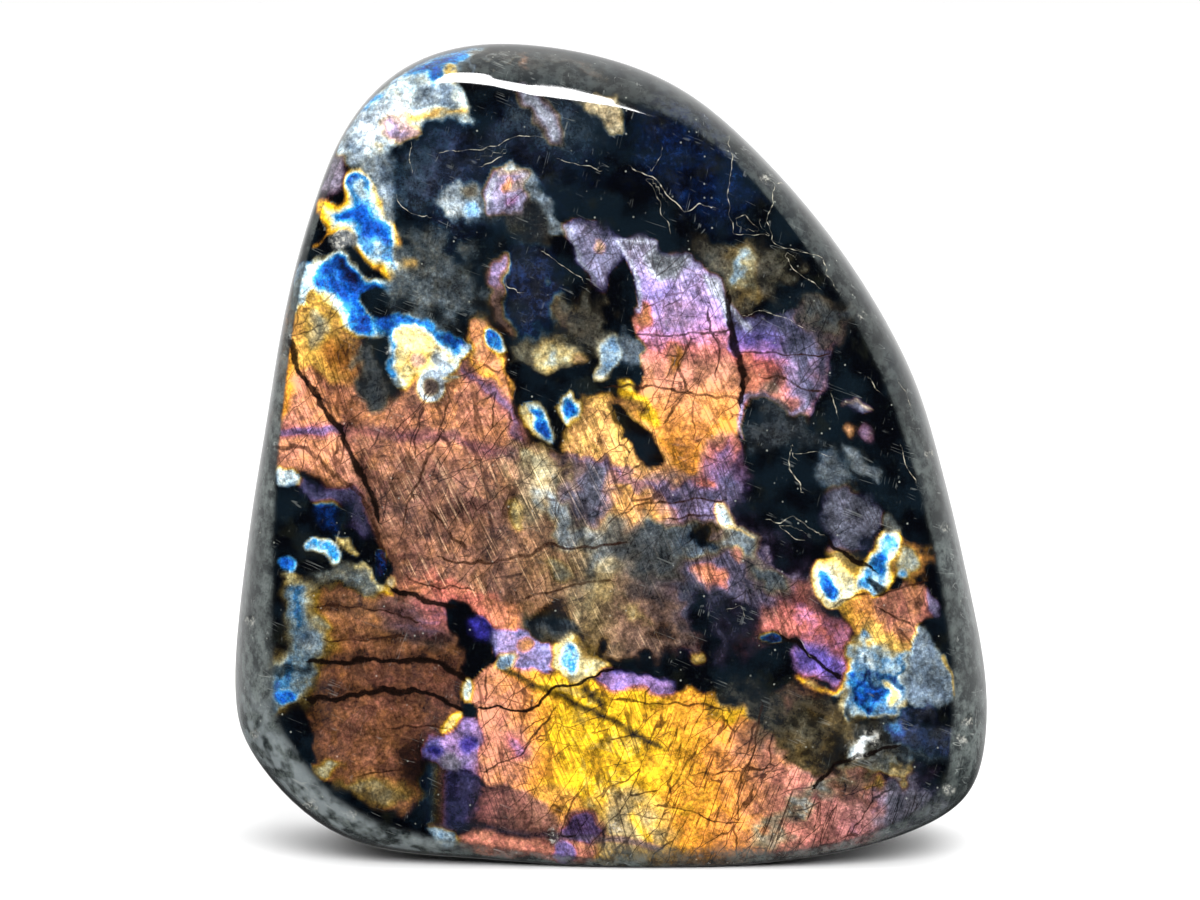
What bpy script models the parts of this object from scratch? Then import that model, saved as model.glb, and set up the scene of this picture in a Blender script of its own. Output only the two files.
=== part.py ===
"""A polished labradorite freeform that stands on its flat sawn base.

The stone is one natural piece, so it is one object. It is built as a coarse cage: a grid
that is extruded from the back face to the front face, one ring of the rim at a time. A
Subdivision Surface rounds the cage, and the saw cut at the floor then makes the base flat.
The stone faces -Y, stands on Z = 0 and is centred over the origin.
"""

import bmesh
import bpy
from mathutils import Vector

MM = 0.001

# Driving dimensions, in millimetres
HEIGHT = 136.5
FRONT_AT_FOOT = 25.0
FRONT_AT_TOP = 14.5
BACK_AT_FOOT = 24.0
BACK_AT_TOP = 13.5
FRONT_DOME = 2.0
BACK_DOME = 5.0
BACK_ROUNDING = 13.0

# The rim as seen from the front, clockwise from the lower left: X, Z, and the width of the
# ground bevel between the rim and the front face there.
RIM = [
    (-61.3, 15.6, 10.0),
    (-64.2, 26.4, 8.8),
    (-63.6, 38.0, 7.6),
    (-62.2, 49.0, 6.2),
    (-60.4, 61.0, 4.7),
    (-58.2, 73.5, 3.5),
    (-56.1, 86.0, 2.8),
    (-53.4, 98.5, 2.1),
    (-49.8, 110.5, 1.8),
    (-44.7, 122.5, 1.8),
    (-36.1, 131.9, 2.6),
    (-24.8, 136.2, 4.6),
    (-12.6, 136.3, 6.5),
    (0.4, 133.8, 6.0),
    (12.5, 128.5, 4.6),
    (22.8, 120.1, 3.7),
    (31.9, 110.4, 4.0),
    (39.8, 100.2, 4.5),
    (46.6, 89.3, 5.0),
    (51.8, 78.3, 5.4),
    (55.3, 66.8, 5.4),
    (58.2, 55.4, 5.3),
    (60.9, 43.4, 5.8),
    (63.3, 31.0, 6.9),
    (63.6, 19.5, 7.6),
    (60.4, 9.8, 7.6),
    (50.8, 4.3, 5.6),
    (37.0, 1.0, 3.9),
    (18.0, -0.9, 3.2),
    (-2.0, -1.4, 3.7),
    (-23.5, -0.2, 5.2),
    (-45.8, 2.5, 8.4),
]
CELLS_PER_SIDE = len(RIM) // 4

# Behind the front bevel the stone reaches lower at its left foot, down to the saw cut.
LEFT_FOOT = (-58.6, 14.8, 10.0)
LEFT_HEEL = (-44.8, -0.6, 8.4)
BACK_RIM = [LEFT_FOOT, *RIM[1:-1], LEFT_HEEL]

# The back is rounded over: its first ring lies this far in from the rim and forward of the
# back face, as shares of the rounding's size.
BACK_EDGE_INSET = 0.85
BACK_SHOULDER_INSET = 0.28
BACK_SHOULDER_DEPTH = 0.30

# The front bevel leaves the rim BEVEL_START millimetres and BEVEL_REACH times its width
# behind the front face, and turns towards the face at these shares of its width.
BEVEL_START = 1.0
BEVEL_REACH = 1.5
BEVEL_TURN_INSET = 0.36
BEVEL_TURN_DEPTH = 0.45

FACE_CREASE = 0.55
SMOOTHING_LEVELS = 2
FIT_ROUNDS = 8
RELAX_ROUNDS = 60

STONE_COLOUR = (0.10, 0.11, 0.12, 1.0)
STONE_ROUGHNESS = 0.12


def clear_scene():
    for obj in list(bpy.data.objects):
        bpy.data.objects.remove(obj, do_unlink=True)


def front_depth(z):
    """How far the front face stands before the middle plane at height z."""
    return FRONT_AT_FOOT + (FRONT_AT_TOP - FRONT_AT_FOOT) * z / HEIGHT


def back_depth(z):
    """How far the back face stands behind the middle plane at height z."""
    return BACK_AT_FOOT + (BACK_AT_TOP - BACK_AT_FOOT) * z / HEIGHT


def inward_directions(points):
    """The direction into the stone at each point of a closed outline in X and Z."""
    found = []
    for i, point in enumerate(points):
        along = points[(i + 1) % len(points)] - points[i - 1]
        inward = Vector((along.y, -along.x)).normalized()
        found.append(inward)
    return found


def cage_through(points):
    """The cage outline whose smoothed curve passes through these points."""
    cage = [point.copy() for point in points]
    own_share = 4 / 6
    neighbour_share = 1 / 6
    for _ in range(FIT_ROUNDS):
        smooth = [
            own_share * cage[i] + neighbour_share * (cage[i - 1] + cage[(i + 1) % len(cage)])
            for i in range(len(cage))
        ]
        cage = [c + p - s for c, p, s in zip(cage, points, smooth)]
    return cage


def ring(rim, inset_of, depth_of):
    """A closed ring of the cage: each rim point moved in by inset_of, at Y depth_of."""
    outline = [Vector((x, z)) for x, z, _ in rim]
    inward = inward_directions(outline)
    inset = [
        point + direction * inset_of(bevel)
        for point, direction, (_, _, bevel) in zip(outline, inward, rim)
    ]
    return [
        Vector((c.x, depth_of(p.y, bevel), c.y))
        for c, p, (_, _, bevel) in zip(cage_through(inset), inset, rim)
    ]


def rings_back_to_front():
    """The rings of the rim, from the edge of the back face to the edge of the front face."""
    r = BACK_ROUNDING
    back_edge = ring(BACK_RIM, lambda b: BACK_EDGE_INSET * r, lambda z, b: back_depth(z))
    back_shoulder = ring(
        BACK_RIM,
        lambda b: BACK_SHOULDER_INSET * r,
        lambda z, b: back_depth(z) - BACK_SHOULDER_DEPTH * r,
    )
    rim_back = ring(BACK_RIM, lambda b: 0.0, lambda z, b: back_depth(z) - r)
    rim_front = ring(
        RIM, lambda b: 0.0, lambda z, b: BEVEL_START + BEVEL_REACH * b - front_depth(z)
    )
    bevel_turn = ring(
        RIM, lambda b: BEVEL_TURN_INSET * b, lambda z, b: BEVEL_TURN_DEPTH * b - front_depth(z)
    )
    face_edge = ring(RIM, lambda b: b, lambda z, b: -front_depth(z))
    return [back_edge, back_shoulder, rim_back, rim_front, bevel_turn, face_edge]


def rim_loop(grid_faces):
    """The outer vertices of a grid, clockwise from its lower left corner."""
    faces = set(grid_faces)
    edges = {e for f in faces for e in f.edges if len(faces & set(e.link_faces)) == 1}
    start = min((v for e in edges for v in e.verts), key=lambda v: (v.co.x + v.co.z))
    first = max(
        (e.other_vert(start) for e in edges if start in e.verts), key=lambda v: v.co.z
    )
    loop = [start, first]
    while True:
        following = [
            e.other_vert(loop[-1])
            for e in edges
            if loop[-1] in e.verts and e.other_vert(loop[-1]) is not loop[-2]
        ]
        if following[0] is start:
            return loop
        loop.append(following[0])


def extrude_rings(bm, rings):
    """Closes the grid into a solid cage, one ring at a time. Returns both ends' vertices."""
    front_faces = list(bm.faces)
    loop = rim_loop(front_faces)
    back = {v for f in front_faces for v in f.verts}
    back_loop = loop
    for vert, place in zip(loop, rings[0]):
        vert.co = place
    for number, places in enumerate(rings[1:]):
        region = {g for f in front_faces for g in (f, *f.edges, *f.verts)}
        made = bmesh.ops.extrude_face_region(
            bm, geom=list(region), use_keep_orig=number == 0
        )
        front_faces = [g for g in made["geom"] if isinstance(g, bmesh.types.BMFace)]
        joined = {v for f in front_faces for v in f.verts}
        loop = [
            next(e.other_vert(v) for e in v.link_edges if e.other_vert(v) in joined)
            for v in loop
        ]
        for vert, place in zip(loop, places):
            vert.co = place
    return back, back_loop, {v for f in front_faces for v in f.verts}, loop


def relax(verts, loop):
    """Spreads a face's inner vertices evenly inside its rim loop."""
    inner = [v for v in verts if v not in set(loop)]
    for _ in range(RELAX_ROUNDS):
        for v in inner:
            near = [e.other_vert(v).co for e in v.link_edges]
            v.co = sum(near, Vector()) / len(near)
    return inner


def share_of_reach(place, middle, loop):
    """How far out a point lies, from 0 in the middle of a face to 1 on its rim loop."""
    away = place - middle
    towards = max((v.co - middle for v in loop), key=lambda out: out.normalized().dot(away))
    return min(away.length / towards.length, 1.0)


def dome(inner, loop, depth_of, height):
    """Gives a face's inner vertices the height of a shallow dome over its rim."""
    middle = sum((v.co for v in loop), Vector()) / len(loop)
    for v in inner:
        rise = height * (1 - share_of_reach(v.co, middle, loop) ** 2)
        v.co.y = depth_of(v.co.z, rise)


def stone_cage():
    """The whole cage as a mesh, in millimetres."""
    bm = bmesh.new()
    bmesh.ops.create_grid(
        bm, x_segments=CELLS_PER_SIDE, y_segments=CELLS_PER_SIDE, size=HEIGHT / 2
    )
    for v in bm.verts:
        v.co = Vector((v.co.x, 0.0, v.co.y))
    back, back_loop, front, front_loop = extrude_rings(bm, rings_back_to_front())
    dome(relax(back, back_loop), back_loop, lambda z, rise: back_depth(z) + rise, BACK_DOME)
    dome(
        relax(front, front_loop), front_loop, lambda z, rise: -front_depth(z) - rise, FRONT_DOME
    )
    crease = bm.edges.layers.float.new("crease_edge")
    edge_of_face = set(front_loop)
    for edge in bm.edges:
        if set(edge.verts) <= edge_of_face:
            edge[crease] = FACE_CREASE
    bmesh.ops.recalc_face_normals(bm, faces=bm.faces)
    mesh = bpy.data.meshes.new("stone_cage")
    bm.to_mesh(mesh)
    bm.free()
    return mesh


def smoothed(cage):
    """The cage's mesh after its Subdivision Surface."""
    helper = bpy.data.objects.new("stone_cage", cage)
    bpy.context.scene.collection.objects.link(helper)
    smooth = helper.modifiers.new("rounding", "SUBSURF")
    smooth.levels = SMOOTHING_LEVELS
    smooth.render_levels = SMOOTHING_LEVELS
    evaluated = helper.evaluated_get(bpy.context.evaluated_depsgraph_get())
    mesh = bpy.data.meshes.new_from_object(evaluated)
    bpy.data.objects.remove(helper)
    return mesh


def saw_base_flat(mesh):
    """Everything under the floor plane is cut away, which leaves the flat base."""
    for v in mesh.vertices:
        v.co.z = max(v.co.z, 0.0)


def centre_over_origin(mesh):
    """Moves the stone so that the middle of its box stands over the origin."""
    for axis in (0, 1):
        places = [v.co[axis] for v in mesh.vertices]
        middle = (min(places) + max(places)) / 2
        for v in mesh.vertices:
            v.co[axis] -= middle


def to_metres(mesh):
    for v in mesh.vertices:
        v.co *= MM


def stone_material():
    material = bpy.data.materials.new("polished labradorite")
    material.use_nodes = True
    shader = material.node_tree.nodes["Principled BSDF"]
    shader.inputs["Base Color"].default_value = STONE_COLOUR
    shader.inputs["Roughness"].default_value = STONE_ROUGHNESS
    shader.inputs["Metallic"].default_value = 0.0
    return material


def build_stone(collection):
    mesh = smoothed(stone_cage())
    saw_base_flat(mesh)
    centre_over_origin(mesh)
    to_metres(mesh)
    mesh.name = "stone"
    mesh.materials.append(stone_material())
    mesh.shade_smooth()
    stone = bpy.data.objects.new("stone", mesh)
    collection.objects.link(stone)
    return stone


def main():
    clear_scene()
    collection = bpy.data.collections.new("labradorite_freeform")
    bpy.context.scene.collection.children.link(collection)
    build_stone(collection)


main()
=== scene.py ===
# %% [markdown]
# A labradorite freeform: one piece of stone, sawn flat underneath so that it stands, and
# ground and polished all round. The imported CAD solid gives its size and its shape. This
# lesson gives it a fine polished skin, paints the flash that lies in the stone, and lights
# it the way a small product is photographed.

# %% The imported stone
import math

import bpy
import numpy as np
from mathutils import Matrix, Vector, noise


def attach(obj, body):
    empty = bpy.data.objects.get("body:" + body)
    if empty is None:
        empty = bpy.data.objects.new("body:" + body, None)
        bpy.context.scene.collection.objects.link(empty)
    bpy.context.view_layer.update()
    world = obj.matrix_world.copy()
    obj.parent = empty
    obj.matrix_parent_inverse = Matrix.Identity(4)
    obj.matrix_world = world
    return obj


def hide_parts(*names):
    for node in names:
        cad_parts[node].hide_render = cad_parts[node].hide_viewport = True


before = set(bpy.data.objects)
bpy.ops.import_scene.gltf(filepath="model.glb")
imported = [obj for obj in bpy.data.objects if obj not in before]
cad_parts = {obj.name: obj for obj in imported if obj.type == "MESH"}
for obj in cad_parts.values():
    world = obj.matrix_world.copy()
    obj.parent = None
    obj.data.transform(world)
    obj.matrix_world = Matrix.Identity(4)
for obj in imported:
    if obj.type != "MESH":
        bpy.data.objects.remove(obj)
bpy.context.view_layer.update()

MM = 0.001

# %% [markdown]
# The photograph was taken from straight in front and a little above, through a long lens,
# so the stone's sides run nearly parallel. A camera on a long lens a metre away gives the
# same drawing. It is aimed at the point that lies in the middle of the picture.

# %% The camera
CAMERA_AIM = Vector((-1.8, -17.0, 69.6)) * MM
CAMERA_RISE = math.radians(7.0)
CAMERA_DISTANCE = 1.0
PICTURE_WIDTH = 0.200

camera_data = bpy.data.cameras.new("front camera")
camera_data.sensor_width = 36.0
camera_data.lens = camera_data.sensor_width * CAMERA_DISTANCE / PICTURE_WIDTH
camera = bpy.data.objects.new("front camera", camera_data)
bpy.context.scene.collection.objects.link(camera)
line_of_sight = Vector((0.0, math.cos(CAMERA_RISE), -math.sin(CAMERA_RISE)))
camera.location = CAMERA_AIM - line_of_sight * CAMERA_DISTANCE
camera.rotation_euler = (math.radians(90.0) - CAMERA_RISE, 0.0, 0.0)
bpy.context.scene.camera = camera
print("lens:", round(camera_data.lens), "mm")

# %% [markdown]
# The stone stands on a white sheet that runs on into a white background. A wide disc does
# for the sheet: a small plane would end in view once the camera is raised. The sheet isn't
# mirrored in the polish, because its white would lie over the flash as a grey haze.

# %% The floor
FLOOR_RADIUS = 3.0
FLOOR_WHITE = (0.97, 0.97, 0.97, 1.0)

bpy.ops.object.select_all(action="DESELECT")
bpy.ops.mesh.primitive_circle_add(vertices=96, radius=FLOOR_RADIUS, fill_type="NGON")
floor = bpy.context.active_object
floor.name = "floor_sheet"
floor.visible_glossy = False
paper = bpy.data.materials.new("white paper")
paper.use_nodes = True
paper_shader = paper.node_tree.nodes["Principled BSDF"]
paper_shader.inputs["Base Color"].default_value = FLOOR_WHITE
paper_shader.inputs["Roughness"].default_value = 0.9
floor.data.materials.append(paper)

# %% [markdown]
# Polished stone is a dark mirror, so what stands around it draws its edges. The front face
# has to mirror something dark, or the flash turns grey, so the room is white at the sides
# and behind and dark in front. A wide soft light from the front brings the flash out and
# isn't mirrored. One soft box hangs high in front: only the rounded top edge mirrors it, as
# one white band.

# %% The lights
FRONT_OF_ROOM = -0.75
BACK_OF_ROOM = 0.05
DARK_ROOM = 0.03
WHITE_ROOM = 1.6
BELOW_ROOM = -0.35
MIRRORED_SHARE = 0.55
MIRRORED_BELOW = 0.04


def soft_box(name, place, towards, wide, high, power):
    """A flat soft light of this size in metres, turned to face a point."""
    light = bpy.data.lights.new(name, "AREA")
    light.shape = "RECTANGLE"
    light.size = wide
    light.size_y = high
    light.energy = power
    lamp = bpy.data.objects.new(name, light)
    lamp.location = place
    aim = Vector(towards) - Vector(place)
    lamp.rotation_euler = aim.to_track_quat("-Z", "Y").to_euler()
    bpy.context.scene.collection.objects.link(lamp)
    return lamp


wide_light = soft_box("wide front light", (0.25, -1.0, 0.8), (0.0, 0.0, 0.07), 1.0, 0.8, 20.5)
wide_light.visible_glossy = False
edge_light = soft_box("overhead soft box", (0.0, -0.86, 0.91), (0.0, 0.0, 0.07), 0.23, 0.92, 20.5)
edge_light.visible_diffuse = False

bpy.context.scene.view_settings.view_transform = "Standard"
room = bpy.data.worlds.new("white room")
bpy.context.scene.world = room
room.use_nodes = True
sky = room.node_tree
background = sky.nodes["Background"]
background.inputs["Color"].default_value = (1.0, 1.0, 1.0, 1.0)
direction = sky.nodes.new("ShaderNodeTexCoord")
parts = sky.nodes.new("ShaderNodeSeparateXYZ")
sky.links.new(direction.outputs["Generated"], parts.inputs["Vector"])
room_light = sky.nodes.new("ShaderNodeMapRange")
room_light.interpolation_type = "SMOOTHSTEP"
room_light.inputs["From Min"].default_value = FRONT_OF_ROOM
room_light.inputs["From Max"].default_value = BACK_OF_ROOM
room_light.inputs["To Min"].default_value = DARK_ROOM
room_light.inputs["To Max"].default_value = WHITE_ROOM
sky.links.new(parts.outputs["Y"], room_light.inputs["Value"])
light_path = sky.nodes.new("ShaderNodeLightPath")
mirrored = sky.nodes.new("ShaderNodeMapRange")
mirrored.interpolation_type = "SMOOTHSTEP"
mirrored.inputs["From Min"].default_value = BELOW_ROOM
mirrored.inputs["From Max"].default_value = 0.0
mirrored.inputs["To Min"].default_value = MIRRORED_BELOW
mirrored.inputs["To Max"].default_value = MIRRORED_SHARE
sky.links.new(parts.outputs["Z"], mirrored.inputs["Value"])
in_polish = sky.nodes.new("ShaderNodeMix")
sky.links.new(light_path.outputs["Is Glossy Ray"], in_polish.inputs["Factor"])
in_polish.inputs["A"].default_value = 1.0
sky.links.new(mirrored.outputs["Result"], in_polish.inputs["B"])
room_strength = sky.nodes.new("ShaderNodeMath")
room_strength.operation = "MULTIPLY"
sky.links.new(room_light.outputs["Result"], room_strength.inputs[0])
sky.links.new(in_polish.outputs["Result"], room_strength.inputs[1])
seen = sky.nodes.new("ShaderNodeMix")
sky.links.new(light_path.outputs["Is Camera Ray"], seen.inputs["Factor"])
sky.links.new(room_strength.outputs["Value"], seen.inputs["A"])
seen.inputs["B"].default_value = 1.0
sky.links.new(seen.outputs["Result"], background.inputs["Strength"])

# %% [markdown]
# The CAD solid is made of flat facets. Its copy is welded, turned back into quads and
# smoothed, and the edge of the sawn base is held sharp.

# %% The polished skin
WELD = 0.001 * MM
ANY_ANGLE = math.radians(60.0)
BASE_EDGE = math.radians(35.0)


def select_only(obj):
    bpy.ops.object.select_all(action="DESELECT")
    obj.select_set(True)
    bpy.context.view_layer.objects.active = obj


def smooth_once(obj):
    """Rounds a mesh with one level of Subdivision Surface and keeps the result."""
    select_only(obj)
    rounding = obj.modifiers.new("rounding", "SUBSURF")
    rounding.levels = 1
    rounding.render_levels = 1
    bpy.ops.object.modifier_apply(modifier=rounding.name)


select_only(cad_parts["stone"])
bpy.ops.object.duplicate()
stone = bpy.context.active_object
stone.name = "polished_stone"
bpy.ops.object.mode_set(mode="EDIT")
bpy.ops.mesh.select_all(action="SELECT")
bpy.ops.mesh.remove_doubles(threshold=WELD)
bpy.ops.mesh.tris_convert_to_quads(face_threshold=ANY_ANGLE, shape_threshold=ANY_ANGLE)
bpy.ops.mesh.select_all(action="DESELECT")
bpy.ops.mesh.select_mode(type="EDGE")
bpy.ops.mesh.edges_select_sharp(sharpness=BASE_EDGE)
bpy.ops.transform.edge_crease(value=0.9)
bpy.ops.object.mode_set(mode="OBJECT")
smooth_once(stone)
bpy.ops.object.shade_smooth()
print("smoothed skin:", len(stone.data.vertices), "points,", len(stone.data.polygons), "faces")

# %% [markdown]
# The flash and the small chips are kept in the points of the mesh, so the front needs a
# fine net of them. Only the faces that look forward are cut finer: cutting the whole stone
# would cost four times as many. A light smoothing then takes out the flats between cuts.

# %% The fine net at the front
FORWARD = -0.25
NET_CUTS = 3

bpy.ops.object.mode_set(mode="EDIT")
bpy.ops.mesh.select_mode(type="FACE")
bpy.ops.mesh.select_all(action="DESELECT")
bpy.ops.object.mode_set(mode="OBJECT")
facing = np.empty(len(stone.data.polygons) * 3)
stone.data.polygons.foreach_get("normal", facing)
stone.data.polygons.foreach_set("select", facing[1::3] < FORWARD)
bpy.ops.object.mode_set(mode="EDIT")
bpy.ops.mesh.subdivide(number_cuts=NET_CUTS)
bpy.ops.mesh.vertices_smooth(factor=0.5, repeat=3)
bpy.ops.object.mode_set(mode="OBJECT")
print("fine net:", len(stone.data.vertices), "points,", len(stone.data.polygons), "faces")

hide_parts("stone")
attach(stone, "root")

# %% [markdown]
# Everything seen in the stone is placed by where it shows in the photograph: millimetres to
# the right of the stone's middle, and millimetres above the floor. The camera gives that
# place for each point of the mesh.

# %% Where each point shows
def read_points(mesh, name):
    """One vector for each point of the mesh, as rows of an array."""
    flat = np.empty(len(mesh.vertices) * 3)
    mesh.vertices.foreach_get(name, flat)
    return flat.reshape(-1, 3)


def shown_at(places):
    """Where points of the stone show in the picture, in mm across and up."""
    upright = np.array((0.0, math.sin(CAMERA_RISE), math.cos(CAMERA_RISE)))
    away = places - np.array(camera.location)
    reach = CAMERA_DISTANCE / (away @ np.array(line_of_sight))
    across = away[:, 0] * reach / MM + CAMERA_AIM.x / MM
    up = (away @ upright) * reach / MM + CAMERA_AIM.z / MM
    return across, up


points = read_points(stone.data, "co")
normals = read_points(stone.data, "normal")
across, up = shown_at(points)
count = len(points)
print("the front shows from", round(across.min(), 1), "to", round(across.max(), 1), "mm")

# %% [markdown]
# No edge in a natural stone is a clean line. Soft noise moves the places a little before
# anything is drawn, so that a few corner points are enough for each outline. Each place is
# moved by a slow swing and by a finer one.

# %% Helpers for drawing
def cloud(size, seed):
    """Soft noise from about -1 to 1 at every point, with lumps of this size in mm."""
    shift = Vector((seed * 17.3, seed * 5.7, seed * 11.1))
    scale = 1.0 / (size * MM)
    return np.array([noise.noise(Vector(p) * scale + shift) for p in points]) * 1.8


def ease(value):
    """Turns 0 to 1 into a soft step."""
    t = np.clip(value, 0.0, 1.0)
    return t * t * (3.0 - 2.0 * t)


slow_swing = (cloud(7.0, 1), cloud(7.0, 2))
fine_swing = (cloud(2.4, 3), cloud(2.4, 4))
grain_swing = (cloud(1.1, 5), cloud(1.1, 6))


def swung(ragged):
    """The places, moved by noise. ragged is how far the swing reaches, in mm."""
    x = across + ragged * (0.9 * slow_swing[0] + 0.8 * fine_swing[0] + 0.3 * grain_swing[0])
    z = up + ragged * (0.9 * slow_swing[1] + 0.8 * fine_swing[1] + 0.3 * grain_swing[1])
    return x, z


def rounded_off(outline):
    """A closed outline with each corner cut twice, which rounds it."""
    corners = np.array(outline, dtype=float)
    for _ in range(2):
        following = np.roll(corners, -1, axis=0)
        near = 0.75 * corners + 0.25 * following
        far = 0.25 * corners + 0.75 * following
        corners = np.stack((near, far), axis=1).reshape(-1, 2)
    return corners


def depth_inside(outline, ragged):
    """How far inside a closed outline each point lies, in mm. It is negative outside."""
    x, z = swung(ragged)
    corners = rounded_off(outline)
    nearest = np.full(count, 1e9)
    inside = np.zeros(count, dtype=bool)
    for (ax, az), (bx, bz) in zip(corners, np.roll(corners, -1, axis=0)):
        ex, ez = bx - ax, bz - az
        t = np.clip(((x - ax) * ex + (z - az) * ez) / (ex * ex + ez * ez), 0.0, 1.0)
        nearest = np.minimum(nearest, np.hypot(x - ax - t * ex, z - az - t * ez))
        crosses = (az > z) != (bz > z)
        if ez != 0.0:
            inside ^= crosses & (x < ax + (z - az) * ex / ez)
    return np.where(inside, nearest, -nearest)


# %% [markdown]
# The flash comes from thin layers inside the feldspar: their spacing sets the colour, and
# where the spacing changes, the colours follow each other in a fixed order, from blue
# through white, yellow and copper to violet. So each point keeps a place on that scale of
# colours, how strongly it glows, how milky it is, and how much it is cracked.

# %% The layers of paint
NAVY, ROYAL, AZURE, ICE = 0.05, 0.14, 0.23, 0.32
CREAM, GOLD, AMBER, COPPER = 0.40, 0.49, 0.58, 0.67
ROSE, LILAC, VIOLET, INDIGO = 0.75, 0.83, 0.91, 0.98

front = ease((-normals[:, 1] - 0.05) / 0.3)
hue = np.full(count, ROYAL)
glow = np.zeros(count)
milk = np.zeros(count)
cracked = np.full(count, 0.25)
streaked = np.zeros(count)


def along(value, direction):
    """A number, or a number that changes along x or z as the listed stops say."""
    if isinstance(value, (int, float)):
        return np.full(count, float(value))
    places = across if direction == "x" else up
    stops = sorted(value)
    return np.interp(places, [s[0] for s in stops], [s[1] for s in stops])


def flash(outline, colour, bright, milky=0.0, rim=None, rim_width=1.6, soft=0.8, ragged=0.7,
          cracks=None, streaks=None, direction="x"):
    """Lays a field of flash over what is there."""
    global hue, glow, milk, cracked, streaked
    depth = depth_inside(outline, ragged)
    cover = ease(depth / (1.25 * soft) + 0.5) * front
    colour_here = along(colour, direction)
    if rim is not None:
        uneven_width = rim_width * np.clip(1.0 + 0.8 * slow_swing[1], 0.35, 1.8)
        colour_here = rim + (colour_here - rim) * ease((depth + 0.2) / uneven_width)
    bright_here = along(bright, direction)
    old_share = (1.0 - cover) * glow + 1e-6
    new_share = cover * bright_here + 1e-6 * cover
    hue = (hue * old_share + colour_here * new_share) / (old_share + new_share)
    glow = glow * (1.0 - cover) + bright_here * cover
    milk = milk * (1.0 - cover) + along(milky, direction) * cover
    if cracks is not None:
        cracked = cracked * (1.0 - cover) + cracks * cover
    if streaks is not None:
        streaked = streaked * (1.0 - cover) + streaks * cover


def darken(outline, amount=1.0, soft=1.0, ragged=0.8):
    """Takes the flash away inside an outline."""
    global glow, milk
    cover = ease(depth_inside(outline, ragged) / soft + 0.5) * amount
    glow = glow * (1.0 - cover)
    milk = milk * (1.0 - cover)


def band_distance(line, ragged):
    """The distance of each point from a line through these places, in mm, with its side."""
    x, z = swung(ragged)
    nearest = np.full(count, 1e9)
    side = np.ones(count)
    for (ax, az), (bx, bz) in zip(line[:-1], line[1:]):
        ex, ez = bx - ax, bz - az
        t = np.clip(((x - ax) * ex + (z - az) * ez) / (ex * ex + ez * ez), 0.0, 1.0)
        distance = np.hypot(x - ax - t * ex, z - az - t * ez)
        closer = distance < nearest
        nearest = np.where(closer, distance, nearest)
        side = np.where(closer, np.sign(ex * (z - az) - ez * (x - ax)), side)
    return nearest, side


def vein(line, width, colour, bright, strength, milky=0.0, ragged=0.8):
    """A soft band that runs through what is there."""
    global hue, glow, milk
    distance, _ = band_distance(line, ragged)
    cover = ease(1.0 - distance / width) * strength * front
    hue = hue * (1.0 - cover) + colour * cover
    glow = glow * (1.0 - cover) + bright * cover
    milk = milk * (1.0 - cover) + milky * cover


def spot(x, z, wide, high, colour, bright, milky=0.0, rim=None, rim_width=0.8, soft=0.6,
         ragged=0.35):
    """A small field of flash, a rough oval."""
    outline = []
    for k in range(8):
        angle = math.tau * k / 8
        uneven = 1.0 + 0.5 * noise.noise(Vector((x, z, 1.7 * k)))
        outline.append((x + uneven * wide * math.cos(angle), z + uneven * high * math.sin(angle)))
    flash(outline, colour, bright, milky, rim, rim_width, soft, ragged)


# %% [markdown]
# The copper field fills the middle of the face from the left edge. It is laid first,
# because the bright small fields lie over its borders. It is broken by many fine cracks.

# %% The copper field and the brown ground below it
flash([(-38, 63), (-32, 67), (-20, 68), (-12, 68), (-4, 66), (2, 60), (7, 54), (7, 46), (0, 41),
       (-8, 38), (-14, 41), (-18, 43), (-25, 46), (-32, 47), (-38, 48), (-39, 55)],
      [(-38, 0.66), (-20, 0.645), (-10, 0.56), (4, 0.50)],
      [(-38, 0.54), (-22, 0.51), (-10, 0.54), (5, 0.46)],
      [(-38, 0.05), (-22, 0.14), (-8, 0.30), (5, 0.45)], soft=4, cracks=0.8, streaks=1.0)
flash([(-55.2, 92), (-52.5, 86), (-47, 84), (-42.5, 80), (-40, 77), (-36, 78), (-33.5, 80),
       (-28, 80), (-24, 84), (-23, 90.5), (-21.5, 91.5), (-19, 87), (-17, 81), (-16.3, 76.5),
       (-14.8, 72), (-12.5, 68.5), (-14, 65), (-22, 64), (-30, 63), (-37, 59), (-40, 60),
       (-44, 63), (-50, 66.3), (-53, 67), (-56.2, 66), (-56, 76), (-55.6, 84)],
      [(-56, 0.67), (-50, 0.655), (-40, 0.65), (-20, 0.655)],
      [(-56, 1.02), (-45, 0.99), (-38, 0.78), (-16, 0.76)], 0.05, soft=2.5, cracks=1.0,
      streaks=0.2)
flash([(-46, 70), (-36, 68), (-22, 67), (-16, 66), (-17, 60), (-26, 57), (-34, 54), (-38, 56),
       (-41, 61)], 0.66, 0.56, 0.14, soft=8, cracks=0.9, streaks=0.8)
flash([(-24, 85), (-23.6, 90.4), (-21.6, 91.4), (-19, 86.6), (-17.2, 82), (-16.4, 77),
       (-18.5, 79), (-21.5, 83)], 0.645, 0.93, 0.05, rim=0.50, rim_width=1.1)
vein([(-55, 73), (-50, 73), (-45, 73)], 1.5, 0.91, 0.36, 0.75, 0.2, 0.5)
vein([(-45, 73), (-35, 72.3), (-28, 71.5), (-20, 69.2), (-10, 67.8)], 1.5, 0.79, 0.40, 0.7, 0.25, 0.6)
vein([(-29, 86), (-24, 82.8), (-19, 79), (-16.5, 75.5), (-15, 71)], 1.4, 0.87, 0.42, 0.7, 0.3, 0.6)
vein([(-49, 84), (-44, 76), (-41, 68), (-38.5, 59)], 3.0, 0.66, 0.42, 0.6)

# %% [markdown]
# The brown field at the lower left glows weakly. Dark curved cracks cross it from side to
# side, and the black stone lies round it.

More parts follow.
